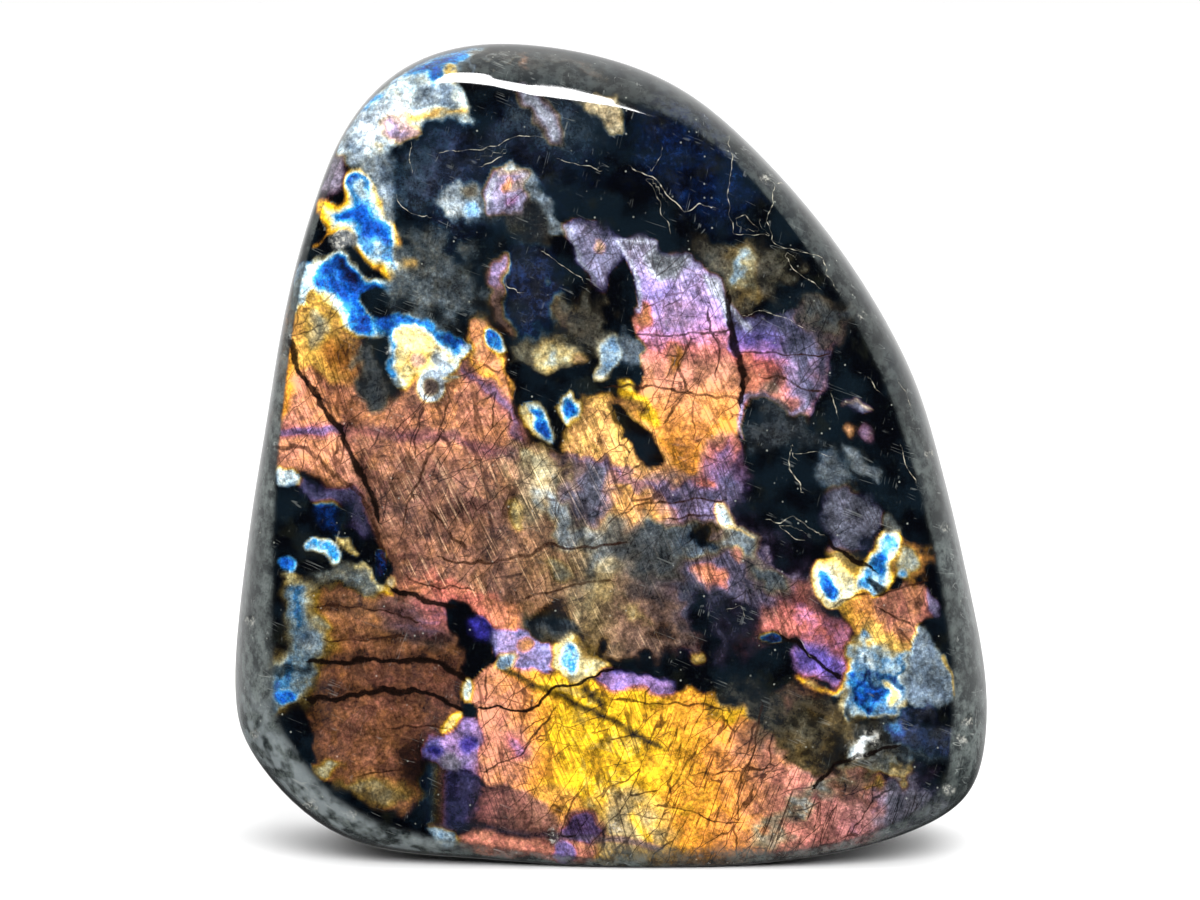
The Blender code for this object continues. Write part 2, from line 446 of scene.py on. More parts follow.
# %% The brown field at the lower left
flash([(-50, 46), (-44, 46.5), (-38, 45.5), (-33, 46), (-29, 44), (-26.5, 39), (-24.5, 35.5),
       (-24.3, 32), (-25.5, 29), (-25.5, 26.5), (-28, 23.5), (-30.5, 20.5), (-32, 17),
       (-32, 12), (-34, 8.5), (-40, 10), (-44, 13), (-48, 17), (-49.5, 22), (-50, 28),
       (-49, 33), (-46.8, 37), (-48.5, 42)],
      [(-50, 0.60), (-45, 0.66), (-24, 0.67)], [(-50, 0.32), (-44, 0.44), (-30, 0.42), (-24, 0.38)],
      0.02, soft=2.0, cracks=0.45, streaks=0.0)
flash([(-48, 25), (-40, 26.4), (-34, 25), (-33, 17), (-36, 12.6), (-42, 14), (-47.6, 19)],
      0.645, 0.50, 0.04, soft=3.0, ragged=1.4)
flash([(-49, 45.5), (-38, 45.5), (-28, 42), (-24.8, 36.5), (-31, 36.5), (-38, 37.5), (-46, 38)],
      0.61, 0.42, 0.1, soft=4, ragged=1.5)
flash([(-40, 44.5), (-30, 44), (-25.5, 39.5), (-29, 37.5), (-36, 39)], 0.78, 0.38, 0.35, soft=3)
stripes = [
    (43.2, 0.12), (40.6, 0.46), (38.6, 0.14), (36.2, 0.42), (34.8, 0.22), (32.6, 0.47),
    (29.2, 0.20), (26.4, 0.52), (24.0, 0.50), (21.6, 0.36), (19.2, 0.54), (16.8, 0.34),
]
for number, (height, bright) in enumerate(stripes):
    bow = 1.4 * math.sin(1.7 * number)
    vein([(-49, height - 0.8), (-43, height), (-36, height + 0.5 + bow), (-30, height + 0.2),
          (-26.5, height - 1.2)], 1.0, 0.655, bright, 0.55, ragged=1.1)
flash([(-47, 14), (-42, 15.5), (-35, 14), (-33, 11), (-38, 9.5), (-44, 11.5)], 0.44, 0.36, 0.2,
      soft=3, ragged=1.2)
spot(-47.3, 17.3, 2.0, 1.6, 0.38, 0.52, 0.1, rim=0.5, soft=1.5, ragged=1.0)
darken([(-55.5, 28), (-50.3, 28), (-49.3, 24), (-49, 18.5), (-52.5, 20), (-56, 24)], 0.95)
darken([(-36, 21.5), (-32, 22), (-29, 19), (-29.5, 16), (-33.5, 12.5), (-35, 15.5)], 0.65, soft=3)

# %% The blue column beside it
flash([(-53.5, 49), (-49, 49), (-48.8, 45), (-48.5, 42), (-46.8, 40), (-45.6, 37.5), (-47, 35.5),
       (-48, 33), (-49.5, 30), (-51.5, 27.3), (-55, 25.5), (-58, 22.8), (-60, 24), (-58.5, 28),
       (-59.5, 31.5), (-57.8, 34.5), (-55, 36.5), (-54, 40), (-54.4, 44)],
      [(-58, 0.30), (-52, 0.30), (-47, 0.38)], [(-58, 0.46), (-52, 0.42), (-46, 0.36)],
      0.10, rim=0.46, rim_width=3.0, soft=3.0, ragged=0.9)
flash([(-52.6, 47.5), (-51, 46.5), (-51.4, 41), (-51.4, 37), (-53, 34), (-53.4, 30.5),
       (-55.4, 27.5), (-57.5, 25), (-57.2, 28), (-55.4, 31.5), (-54, 35), (-53.1, 39), (-53, 43)],
      0.18, 0.52, 0.08, rim=0.26, rim_width=1.8, soft=2.4, ragged=0.6)
flash([(-51, 41), (-48.4, 40.6), (-47.6, 37), (-50, 35.4), (-51.6, 37.4)], 0.26, 0.46, 0.45,
      soft=2.4)
darken([(-57, 33.5), (-53, 33.6), (-49, 35), (-49.5, 33), (-53, 31.3), (-57, 31)], 0.6, 1.0, 1.4)
spot(-54, 28.2, 2.2, 1.1, 0.15, 0.85, rim=0.26, soft=0.8)
spot(-50.5, 38, 2.0, 1.6, 0.30, 0.5, 0.5, soft=2.5, ragged=1.0)

# %% [markdown]
# A black area breaks the copper field at the left edge. A few small bright fields lie in it,
# each with the full run of colours from its edge inwards.

# %% The black area at the left edge
darken([(-56.8, 64.3), (-53.2, 65.4), (-50.5, 62.2), (-46, 60.8), (-42.5, 60.5), (-39.6, 57.5),
        (-38.2, 52), (-36.3, 48.8), (-38, 46.2), (-44, 46), (-49, 47.6), (-53, 50), (-57.5, 50)])
flash([(-52.5, 65), (-47, 62.8), (-42.5, 63), (-42, 60.5), (-46, 59.8), (-50, 60.8)], 0.92, 0.36,
      0.3, soft=1.6)
flash([(-49, 61), (-45.5, 59.8), (-44.6, 55.8), (-48.5, 56.8)], 0.07, 0.5, soft=2.0)
flash([(-44.5, 61), (-41, 59.8), (-39.5, 56), (-42, 55)], 0.9, 0.28, 0.3, soft=2.0)
flash([(-56.4, 66), (-54.4, 67.2), (-52.2, 66.2), (-51, 63.6), (-52.6, 64.2), (-54.6, 63)],
      0.32, 0.9, 0.4, rim=0.27, rim_width=0.6, ragged=0.5)
flash([(-51.5, 53.6), (-49.8, 55.1), (-47, 55), (-45.1, 53.2), (-45.3, 51), (-46.6, 50.2),
       (-47.4, 52), (-48.6, 52.7), (-50.2, 52.3)], 0.22, 0.95, rim=0.40, rim_width=1.0,
      soft=0.6, ragged=0.35)
flash([(-46.3, 55.6), (-44, 54.9), (-42, 52.6), (-43.4, 52.1), (-45, 53.6)], 0.43, 0.72,
      soft=0.7, ragged=0.5)
spot(-53.7, 50.4, 1.3, 1.4, 0.16, 0.9, rim=0.25)
flash([(-55.3, 49.2), (-52.8, 49.2), (-51, 47.2), (-54.2, 46.8)], 0.43, 0.62, soft=0.9)
flash([(-50.5, 49.3), (-47, 50.3), (-42.5, 50.5), (-40, 48.5), (-38.2, 46.8), (-40, 46),
       (-45, 46.8), (-48.5, 46.5)], 0.36, 0.34, 0.35, soft=2, ragged=1.2)
vein([(-42.5, 50.5), (-40.5, 49), (-38.5, 47.2), (-36, 45.6)], 0.9, 0.43, 0.62, 0.8)
spot(-36.7, 47.6, 0.9, 0.9, 0.45, 0.7, 0.4)
spot(-38.4, 51, 0.8, 2.2, 0.06, 0.5)

# %% The gold and blue fields at the upper left
flash([(-54.6, 94), (-51.5, 96), (-50, 98), (-47, 97), (-45, 93.6), (-43, 90.5), (-40.8, 88.6),
       (-41, 85.5), (-42.2, 80), (-46, 80), (-51, 84), (-54.5, 80), (-54.8, 86)],
      [(-54, 0.56), (-50, 0.50), (-44, 0.55), (-41, 0.60)],
      [(-54, 0.92), (-50, 0.76), (-44, 0.62), (-41, 0.5)], 0.1, soft=1.6, cracks=0.8)
flash([(-55.2, 93), (-53, 92.8), (-52.6, 86), (-53.6, 80), (-54.4, 74), (-56, 74), (-55.6, 82)],
      0.56, 0.97, soft=1.2)
flash([(-50, 93.5), (-47.8, 92.5), (-48, 87.5), (-50, 86), (-50.6, 90)], 0.42, 0.62, 0.25, soft=1.6)
flash([(-49, 88), (-44, 87), (-42.5, 82), (-47, 83)], 0.6, 0.48, soft=3.0)
flash([(-52.6, 100.8), (-50.2, 101.6), (-49.4, 98), (-50.6, 95), (-52.6, 92.2), (-53.2, 96)],
      0.31, 0.92, 0.2, rim=0.2, rim_width=0.8)
flash([(-51, 99.5), (-48.6, 102.2), (-45.5, 103), (-43.3, 101.2), (-42, 98.8), (-38.5, 97.9),
       (-34.5, 98), (-35.6, 95.6), (-39.5, 94.8), (-41.8, 94.6), (-40.6, 92.4), (-38.6, 91),
       (-38.4, 88), (-41.3, 87.8), (-44, 90), (-45.8, 93), (-47.8, 95.4), (-50.6, 96.6)],
      [(-50, 0.20), (-46, 0.13), (-42, 0.12), (-36, 0.12)],
      [(-50, 0.98), (-44, 0.94), (-40, 0.86), (-35, 0.6)], rim=0.38, rim_width=3.0, soft=0.8,
      ragged=0.6)
flash([(-45.2, 101.5), (-43, 99.5), (-41, 97.2), (-38, 96.6), (-40, 95.4), (-43, 96.2),
       (-45.5, 98)], 0.06, 0.62, soft=1.6)
darken([(-42.2, 95.4), (-39.5, 96.4), (-36, 96), (-33.5, 92.6), (-30, 92.4), (-29, 91),
        (-33, 91.8), (-36, 91), (-36.6, 88.4), (-36.9, 85), (-38.6, 84.6), (-37.9, 88.5),
        (-38.6, 91.6), (-41, 93.2)])
flash([(-50.4, 103.2), (-48, 103.8), (-46.8, 106), (-47.6, 108.2), (-49.2, 110.6), (-47.4, 112.2),
       (-45.6, 110.2), (-44.4, 110.6), (-44.6, 114.8), (-42.6, 116.5), (-40, 115.6),
       (-38.4, 111.2), (-35.6, 106.4), (-34.4, 102.2), (-33.2, 99.8), (-35.2, 97.2),
       (-38, 98.2), (-39.8, 100.4), (-42, 101.6), (-43.4, 104), (-43.6, 106.2), (-46, 105.6)],
      0.08, 0.98, rim=0.56, rim_width=3.6, soft=0.7, ragged=0.4)
flash([(-42, 104.6), (-38.4, 105), (-36.6, 102.6), (-38.2, 100.9), (-41.6, 102)], 0.25, 0.98,
      0.1, soft=1.8)
flash([(-43.4, 113), (-42, 115), (-40.6, 113.4), (-41, 111.4), (-42.4, 110.6)], 0.33, 0.97, 0.2,
      soft=1.4)
spot(-44.4, 104.5, 2.1, 1.9, 0.34, 0.40, 0.95, soft=0.6, ragged=0.6)
flash([(-48.6, 119), (-44.6, 120), (-43.4, 116.6), (-45, 112.2), (-47.4, 112), (-49.4, 114)],
      0.82, 0.52, 0.65, soft=1.5)
flash([(-45, 120.8), (-35.8, 121), (-35.4, 112), (-36.2, 105.8), (-38.6, 111.2), (-40, 115.4),
       (-43.6, 117)], [(-45, 0.31), (-40, 0.28), (-36, 0.27)], [(-45, 0.66), (-39, 0.60), (-36, 0.44)],
      0.62, soft=1.4)
vein([(-39.6, 120), (-38.8, 115), (-37, 110)], 0.7, 0.30, 0.72, 0.6, 0.7, 0.9)

# %% The pale fields at the top left
flash([(-47, 119.6), (-44.4, 125), (-40, 130.5), (-35, 134.5), (-29, 137.5), (-21, 138),
       (-22, 135.6), (-25, 134.2), (-26.2, 132.6), (-26, 130.6), (-24.2, 128), (-22.3, 124.4),
       (-25, 124), (-30, 124.6), (-33, 122.3), (-37, 119.8), (-41, 119.3)],
      [(-46, 0.30), (-40, 0.32), (-30, 0.33), (-24, 0.34)],
      [(-46, 0.66), (-40, 0.90), (-24, 0.88)], 0.35, soft=1.2, ragged=0.9)
flash([(-46, 121), (-41.5, 126.6), (-37, 129), (-34, 127), (-34.5, 123), (-38, 120.5)],
      [(-45, 0.28), (-38, 0.31), (-34, 0.33)], 0.84, 0.72, soft=3.0, ragged=1.4)
vein([(-44.5, 120), (-40, 124), (-36.5, 126.6)], 1.2, 0.31, 0.98, 0.7, 0.8, 1.0)
vein([(-45.6, 121.4), (-43, 125), (-40, 128), (-36.4, 131.4)], 0.9, 0.27, 0.90, 0.7, 0.4, 0.8)
vein([(-42.5, 119.6), (-38, 122.4), (-35, 125)], 0.7, 0.27, 0.78, 0.7, 0.8, 1.0)
flash([(-37.5, 124.4), (-35, 125.4), (-32.4, 124.4), (-32.6, 122.2), (-36, 121.6)], 0.83, 0.78, 0.5,
      soft=1.6, ragged=1.4)
flash([(-36.5, 131.8), (-31, 136.3), (-24, 138.2), (-19.5, 138), (-23, 135.2), (-26.8, 132.4),
       (-29.3, 130.8), (-31.4, 132.6)], 0.17, 0.93, rim=0.27, rim_width=1.6, soft=1.2)
flash([(-42, 127), (-39, 130), (-37, 129.4), (-39.8, 126.2)], 0.24, 0.9, soft=1.2)
flash([(-33.6, 130.6), (-30, 131.4), (-26.4, 130.6), (-25.6, 127.6), (-29, 126.2), (-33, 127.2)],
      [(-33, 0.28), (-29, 0.26), (-26, 0.24)], 0.62, 0.6, rim=0.30, rim_width=0.9, ragged=1.1)
flash([(-27.8, 133.8), (-25.4, 134.6), (-25.2, 131.4), (-27.3, 131.2)], 0.47, 0.93, soft=0.8)
flash([(-34, 126.2), (-28, 125.7), (-24, 127.6), (-23.8, 126), (-28, 124.6), (-34, 124.6)], 0.53,
      0.93, 0.15, soft=0.8, ragged=0.7)
spot(-33.4, 123.6, 1.3, 0.9, 0.74, 0.80, 0.5, soft=1.2, ragged=1.0)
spot(-38.6, 120.8, 1.2, 0.9, 0.42, 0.86, 0.4, soft=1.2, ragged=1.0)
darken([(-35.5, 120), (-31, 122.4), (-28, 123.5), (-24, 123.6), (-24, 118), (-34, 116)], 0.8)
flash([(-25, 137.4), (-14, 137.4), (-6, 135), (2, 132.4), (-8, 133), (-18, 134)], 0.50, 0.24, 0.75,
      soft=1.6, ragged=1.4)
spot(-15.4, 134.6, 1.5, 0.8, 0.60, 0.46, 0.3, soft=1.4, ragged=1.4)
spot(-4.6, 133.2, 2.0, 0.7, 0.58, 0.36, 0.4, soft=1.4, ragged=1.4)
vein([(-24.4, 132.8), (-22.6, 134.4), (-20.6, 136)], 0.7, 0.34, 0.66, 0.7, 0.9, 1.4)
vein([(-18.4, 133.6), (-16.6, 135.6)], 0.5, 0.34, 0.56, 0.7, 0.9, 1.4)

# %% [markdown]
# Between the blue fields and the copper lies a granular grey-green area, with a pale ridge
# and a small ring below it.

# %% The granular area, the pale ridge and the ring
flash([(-36, 103), (-30, 106), (-24, 104), (-21, 98), (-21, 92), (-25, 89), (-29, 91.5),
       (-34, 93), (-37, 96.5)], 0.33, 0.27, 0.5, soft=4, ragged=2.4, cracks=0.1)
flash([(-33, 101), (-27, 101), (-24, 96), (-27, 91.5), (-33, 94)], 0.33, 0.29, 0.55, soft=4,
      ragged=2.4)
spot(-33.2, 100.6, 1.6, 0.9, 0.5, 0.5, 0.2, soft=1.0)
flash([(-37.6, 90.6), (-34, 92), (-30, 91), (-26.6, 88), (-24.6, 87), (-24.4, 84.5), (-26.6, 82),
       (-28, 80), (-32, 79), (-34.2, 80), (-37, 82.4), (-36.8, 86)],
      0.43, 0.94, 0.1, rim=0.30, rim_width=1.6, soft=0.9, ragged=0.8)
vein([(-38, 90), (-35.6, 91.2), (-32, 91.2), (-28.6, 88.8), (-25.6, 87)], 1.7, 0.15, 0.88, 1.0)
vein([(-36.4, 83), (-36.2, 86.6), (-37, 89)], 1.0, 0.19, 0.8, 0.9)
flash([(-31.4, 87), (-27, 87), (-25, 84), (-27, 81), (-30.6, 82)], 0.30, 0.66, 0.7, soft=1.2,
      ragged=1.8)
spot(-32.4, 84.6, 1.3, 1.2, 0.60, 0.85, 0.4, soft=1.2)
flash([(-34, 80.6), (-31, 82.6), (-27, 81.4), (-25.6, 78.4), (-29, 76.6), (-34, 77.6)], 0.65, 0.5,
      0.1, soft=1.6)
spot(-30, 80, 2.7, 2.5, 0.30, 0.88, 0.7, soft=0.6, ragged=0.2)
spot(-30.1, 80, 1.7, 1.5, 0.62, 0.36, 0.5, soft=0.8, ragged=0.2)
vein([(-27.6, 80.8), (-26.4, 81.4), (-25.2, 82)], 0.5, 0.31, 0.78, 0.9, 0.7, 0.3)
flash([(-42.6, 86.5), (-38.5, 85.4), (-37, 82), (-35, 80.5), (-36.6, 77.4), (-40.6, 76.6),
       (-42.8, 80)], 0.36, 0.26, 0.7, rim=0.44, rim_width=1.4, soft=1.4, ragged=1.2)

# %% [markdown]
# The middle of the upper half is black stone with pale and coloured windows in it.

# %% The windows in the black stone
flash([(6, 129), (14, 128), (21, 121), (25, 113), (21, 107), (12, 110), (5, 112), (2, 118)], 0.09,
      [(4, 0.18), (12, 0.34), (24, 0.22)], 0.02, soft=8, ragged=2.0)
flash([(-34, 121), (-20, 126), (-10, 127), (0, 123), (4, 114), (-6, 109), (-18, 104), (-30, 106),
       (-35, 113)], [(-34, 0.22), (-26, 0.10), (0, 0.08)], [(-34, 0.34), (-24, 0.22), (0, 0.10)],
      [(-34, 0.5), (-24, 0.2), (0, 0.0)], soft=8, ragged=2.0)
flash([(-20, 115), (-12, 113), (-6, 107), (-12, 103), (-20, 105)], 0.5, 0.14, 0.7, soft=6,
      ragged=2.0)
flash([(-18, 128), (-8, 128.6), (0, 125), (-2, 120), (-14, 119), (-20, 123)], 0.24, 0.20, 0.5,
      soft=6, ragged=1.5)
flash([(-29, 113), (-26, 115.6), (-23, 116.2), (-21.2, 113), (-20.8, 110.4), (-21.4, 107.2),
       (-24, 106.6), (-27, 107.8), (-29.2, 110)], 0.31, 0.56, 0.7, soft=1.6, ragged=1.4)
flash([(-25.4, 115), (-22.4, 115.4), (-22, 112), (-24, 111.4)], 0.46, 0.34, 0.5, soft=1.6,
      ragged=1.4)
flash([(-25, 110.8), (-22.6, 111.4), (-21.4, 109.6), (-22.6, 107.8), (-24.8, 108.2)], 0.25, 0.96,
      0.3, rim=0.32, rim_width=0.8, soft=0.8)
flash([(-28.6, 111), (-25.4, 112), (-25, 108.4), (-27.6, 108.4)], 0.32, 0.92, 0.7, soft=1.8,
      ragged=1.2)
flash([(-20.6, 113.5), (-19.2, 116.6), (-16.8, 117.4), (-14.4, 115), (-13.8, 111), (-15.4, 108.4),
       (-18.5, 108.6), (-20.4, 111)], 0.86, 0.68, 0.55, rim=0.92, rim_width=1.2, soft=1.0,
      ragged=0.9, cracks=0.7)
vein([(-20.4, 110.6), (-19.6, 114), (-17.6, 116.6), (-15.4, 115.4), (-13.8, 112.6)], 0.7, 0.88,
     0.88, 0.85, 0.95, 0.6)
spot(-17.2, 113.6, 0.9, 1.0, 0.62, 0.92, 0.1)
spot(-17.4, 110.6, 1.6, 1.2, 0.80, 0.8, 0.15, ragged=0.9)
flash([(-18.5, 116), (-16.5, 117.6), (-15, 115.8), (-17, 114.8)], 0.32, 0.85, 0.6, soft=1.0)
flash([(-15.8, 116), (-12.4, 114), (-9.4, 109.8), (-5.6, 106), (-5, 104.2), (-8.6, 105.8),
       (-12, 109.4), (-15.2, 112)], 0.28, 0.52, 0.65, soft=1.6, ragged=1.2)
flash([(-7.2, 107.6), (-4, 107.6), (-0.4, 106.4), (1.4, 103), (0.7, 99.2), (-1, 96.2),
       (-3.2, 98), (-5.2, 101.5), (-6, 104)], [(-7, 0.95), (-4, 0.88), (1, 0.91)],
      [(-7, 0.76), (-4, 0.62), (1, 0.56)], 0.55, soft=1.6, ragged=0.8, cracks=0.8)
vein([(-7, 107), (-5.6, 103.6), (-4.4, 100.6), (-2.8, 97.6)], 0.7, 0.95, 0.70, 0.7, 0.9, 0.6)
spot(-2, 103.6, 0.8, 1.0, 0.56, 0.8, 0.4)
flash([(-16, 104), (-11, 103.6), (-8.6, 99), (-8.4, 93), (-11.5, 88.6), (-15, 88.6), (-17.6, 92),
       (-18, 99)], 0.06, 0.34, 0.1, soft=3.0, ragged=0.8)
flash([(-20.4, 101), (-17, 102.8), (-16.2, 100.4), (-17.8, 96.5), (-18.8, 92.6), (-20.2, 94),
       (-20.4, 98.5)], 0.85, 0.66, 0.35, rim=0.60, rim_width=1.1, soft=0.9)
flash([(-18.5, 97), (-17.6, 93), (-15.5, 89.5), (-17.5, 88.6), (-20, 91.5), (-20.2, 95.5)], 0.62,
      0.34, 0.3, soft=1.6)
flash([(-7.5, 96), (-3, 97), (0, 93), (-1.5, 89), (-5, 88), (-8, 90.5)], 0.42, 0.26, 0.5,
      soft=3.0, ragged=2.4)
flash([(-9.4, 95), (-7.8, 96), (-6.4, 92), (-7.4, 89.6), (-9.4, 91)], 0.55, 0.26, 0.4, soft=2.4,
      ragged=1.6)
flash([(-21.6, 89), (-20.4, 90.3), (-18.4, 88.4), (-17.2, 86), (-19, 85.6), (-20.9, 87.2)],
      0.15, 0.93, rim=0.40, rim_width=0.9, soft=0.6, ragged=0.3)
flash([(-17, 88), (-12.6, 88.4), (-8, 89), (-5.4, 86.6), (-6.4, 83.6), (-11, 83), (-16, 84.6)],
      0.42, 0.33, 0.3, soft=2.4, ragged=1.2)
spot(-9.8, 86, 2.4, 2.1, 0.37, 0.76, 0.05, rim=0.46, rim_width=1.4, soft=1.8, ragged=1.3)
spot(-5.6, 84.8, 1.2, 1.0, 0.54, 0.6, 0.3, soft=1.0)
darken([(-18.4, 84.6), (-14, 84), (-11, 82.8), (-7, 83.3), (-4.3, 85.2), (-3, 81.5), (-5, 79),
        (-8.4, 79.4), (-8.8, 76), (-8, 73), (-8, 71), (-9.7, 71), (-10.5, 74), (-11, 78),
        (-14, 78.3), (-16.4, 75), (-16.8, 80)])
flash([(-14.6, 77.8), (-11.2, 78), (-10, 74), (-9.4, 70.2), (-11.7, 71.2), (-14.6, 74.2)], 0.14,
      0.93, rim=0.42, rim_width=1.3, soft=0.7, ragged=0.4)
flash([(-14.8, 77), (-12.6, 77.6), (-12.4, 74), (-11, 71.4), (-13, 71.8), (-15, 74)], 0.38, 0.80,
      0.1, rim=0.46, soft=1.0, ragged=0.9)
flash([(-9.2, 78.6), (-6.8, 79.7), (-5.2, 77), (-4.8, 74.4), (-6.8, 73.4), (-8.8, 75.4)], 0.14,
      0.93, rim=0.45, rim_width=1.2, soft=0.7, ragged=0.7)
spot(-6.2, 74.4, 1.4, 0.7, 0.42, 0.86, soft=0.8, ragged=0.7)
flash([(-3.6, 88), (0, 89.3), (2, 86.8), (1, 83.6), (-1.8, 81.6), (-3.8, 82.4), (-2.2, 85)],
      0.27, 0.72, 0.35, rim=0.42, rim_width=1.0, soft=0.9)
flash([(1, 90), (5, 89.5), (7.4, 86), (5.6, 83.4), (1.6, 84)], 0.27, 0.34, 0.65, soft=1.6,
      ragged=1.4)
flash([(-16, 130.6), (-12.6, 130), (-9.4, 124.6), (-8, 121.4), (-10.4, 121), (-12.8, 124.6)],
      0.93, 0.58, 0.85, soft=1.6)
flash([(-5, 128.6), (0, 129.6), (2.8, 127.4), (3, 123.6), (0.4, 122.6), (-2, 125.6),
       (-4, 125.2)], 0.45, 0.72, 0.4, soft=1.4, ragged=1.0)
flash([(14, 105), (19, 106), (26, 103), (29, 99), (26, 94), (20, 93), (16, 98)], 0.42, 0.25, 0.5,
      soft=4, ragged=2.4)
flash([(18.6, 103.6), (21.6, 104.4), (24.2, 101.6), (23.8, 98.5), (25.4, 95.4), (23.6, 93.6),
       (21.6, 95.8), (19.8, 97.6), (19, 100.5)], 0.39, 0.46, 0.15, rim=0.48, rim_width=2.0,
      soft=2.6, ragged=1.5)
spot(21, 100.4, 1.2, 2.0, 0.29, 0.56, 0.3, soft=1.8, ragged=1.4)

# %% [markdown]
# Right of the middle the layers are spaced wider, and the colours run on from copper to
# rose, lilac and violet.

# %% The lilac, rose and violet fields
flash([(1, 105), (7.6, 104.8), (8, 102), (12.5, 102), (14.8, 100.4), (17, 98), (19.4, 96.8),
       (19.9, 92), (20, 88.5), (20.8, 86), (21.4, 83), (21.4, 78.5), (21.8, 75), (20.4, 71),
       (21, 66), (17, 63.4), (10, 64.5), (8.6, 68), (7.6, 71.4), (5, 74.4), (3, 78), (6.5, 81),
       (4.6, 84), (6.6, 87), (4.4, 89.6), (3.8, 93), (4.2, 98), (2.6, 101.5)],
      [(66, 0.585), (74, 0.60), (79, 0.635), (84, 0.69), (87, 0.76), (90, 0.82), (95, 0.865),
       (102, 0.885)],
      [(66, 0.88), (74, 0.95), (84, 0.93), (88, 0.88), (94, 0.98), (99, 0.90), (104, 0.5)],
      [(70, 0.0), (88, 0.10), (94, 0.28), (99, 0.40), (104, 0.7)], soft=0.9, ragged=0.7,
      cracks=0.85, streaks=0.1, direction="z")
flash([(5, 98.6), (9, 98.4), (9.6, 95), (6, 93.6)], 0.885, 0.88, 0.25, soft=3.0, ragged=1.2)
flash([(16, 69), (19.5, 72), (21.8, 68), (21, 63), (16, 62.4), (14, 65)], 0.82, 0.62, 0.15,
      soft=3.5, ragged=1.2)
flash([(6, 102), (8, 99), (9.6, 98.4), (13.4, 100.4), (12.4, 102.2), (8, 102.6)], 0.9, 0.50, 0.95,
      soft=1.6, ragged=1.0)
flash([(8, 93.4), (11, 95), (14.6, 93), (13.4, 90), (9.4, 89.6)], 0.84, 0.66, 0.3, soft=2.0)
flash([(3.6, 93.6), (6.6, 94), (7.4, 90.6), (4.2, 90)], 0.66, 0.72, soft=1.2, ragged=1.0)
flash([(9.6, 87), (11.8, 87), (12.4, 82.6), (10, 82)], 0.58, 0.52, soft=1.6)
vein([(0.6, 104.4), (3.4, 101), (4.6, 97), (4.2, 92.8)], 0.8, 0.93, 0.92, 0.95, 0.85, 0.4)
vein([(0.8, 104.5), (4.2, 104.2), (7.4, 104.4), (7, 102.4), (6.6, 100), (8.4, 98.2)], 0.6, 0.93,
     0.88, 0.9, 0.9, 0.3)
flash([(14.8, 98.4), (17.2, 98.4), (19.6, 96), (19.9, 92), (19.8, 89.6), (18.8, 91.6), (17.8, 95),
       (15.8, 96.4)], 0.94, 0.98, 0.85, soft=1.0)
flash([(20, 95.6), (21.6, 92.6), (24, 91.6), (29, 93), (33, 94.6), (36.5, 95.2), (40, 92),
       (38.8, 88), (36.6, 85), (35.4, 81.5), (34.6, 77.6), (31.4, 75), (29.6, 76.6),
       (26.6, 78.8), (23.5, 78.3), (21.6, 77.4), (21.4, 80), (21.2, 84), (20, 88.5)],
      [(79, 0.70), (84, 0.73), (87, 0.88), (90, 0.95), (94, 0.94)],
      [(78, 0.92), (85, 0.90), (88, 0.62), (91, 0.42), (94, 0.26)],
      [(85, 0.0), (88, 0.10), (91, 0.30), (94, 0.6)],
      soft=0.8, ragged=0.9, cracks=0.85, direction="z")
flash([(29, 91), (36, 93), (39, 90), (36.4, 84), (34, 77.6), (31, 76), (29.6, 80), (29, 86)],
      0.91, [(29, 0.48), (34, 0.38), (38, 0.24)], 0.5, soft=5, ragged=1.6)
darken([(35, 96), (41, 96), (41, 76), (34, 74), (37, 84)], 0.6, 5.0, 1.4)
flash([(32, 95), (38, 95), (40, 91), (38, 87), (35, 88), (33, 91)], 0.36, 0.24, 0.7, soft=3,
      ragged=1.4)
flash([(21.4, 86), (24, 86.2), (23.6, 80), (22, 77.8), (21.4, 82)], 0.70, 0.62, soft=2.2)
vein([(22, 78.4), (26, 78.6), (29.4, 76), (31.4, 76), (33.6, 79)], 0.8, 0.94, 0.66, 0.85, 0.6,
     0.5)
vein([(20.2, 94), (21.4, 91.8), (22.6, 90.2)], 0.8, 0.94, 0.90, 0.9, 0.85, 0.4)
vein([(21.8, 78), (21.2, 75), (22, 72)], 0.7, 0.94, 0.74, 0.9, 0.6, 0.4)
flash([(22, 77), (27, 77.6), (33, 74.6), (35, 71.4), (29, 68), (24, 69.6)], 0.30, 0.21, 0.75,
      soft=4, ragged=2.2)

# %% The gold and orange fields in the middle
flash([(-5.4, 79), (0.5, 79.4), (4, 76), (8.4, 71), (9, 67.4), (12.4, 64.6), (11, 60), (4, 57),
       (-2, 58.6), (-5.6, 65), (-8, 69.4), (-8, 73), (-5.4, 74.4)],
      [(-6, 0.54), (2, 0.535), (10, 0.58)], [(-6, 0.88), (2, 0.97), (10, 0.90)], 0.16, soft=1.8,
      ragged=1.0, cracks=1.0, streaks=0.5)
flash([(0.2, 82), (3, 81.8), (6.4, 78.6), (9.2, 75), (8.4, 72.6), (6, 74.6), (3, 78)], 0.485,
      0.88, soft=0.9, ragged=0.7)
flash([(-1, 79), (4, 79.6), (7, 76), (3.6, 76), (0, 77.4)], 0.58, 0.50, 0.1, soft=1.4)
darken([(0, 78.8), (1.8, 77.5), (5.6, 73.3), (8, 70.6), (8.4, 67), (6, 66.4), (3.6, 69.6),
        (1.6, 73.5), (0, 76.4)], 0.93)
flash([(-2, 58), (8, 62), (22, 60), (32, 54), (36, 46), (31, 40), (24, 36), (15, 35), (6, 36),
       (-4, 44)], [(-2, 0.34), (12, 0.90), (34, 0.86)], [(-2, 0.36), (14, 0.27), (34, 0.20)],
      [(-2, 0.7), (34, 0.5)], soft=7, ragged=2.2, cracks=0.6, streaks=0.4)
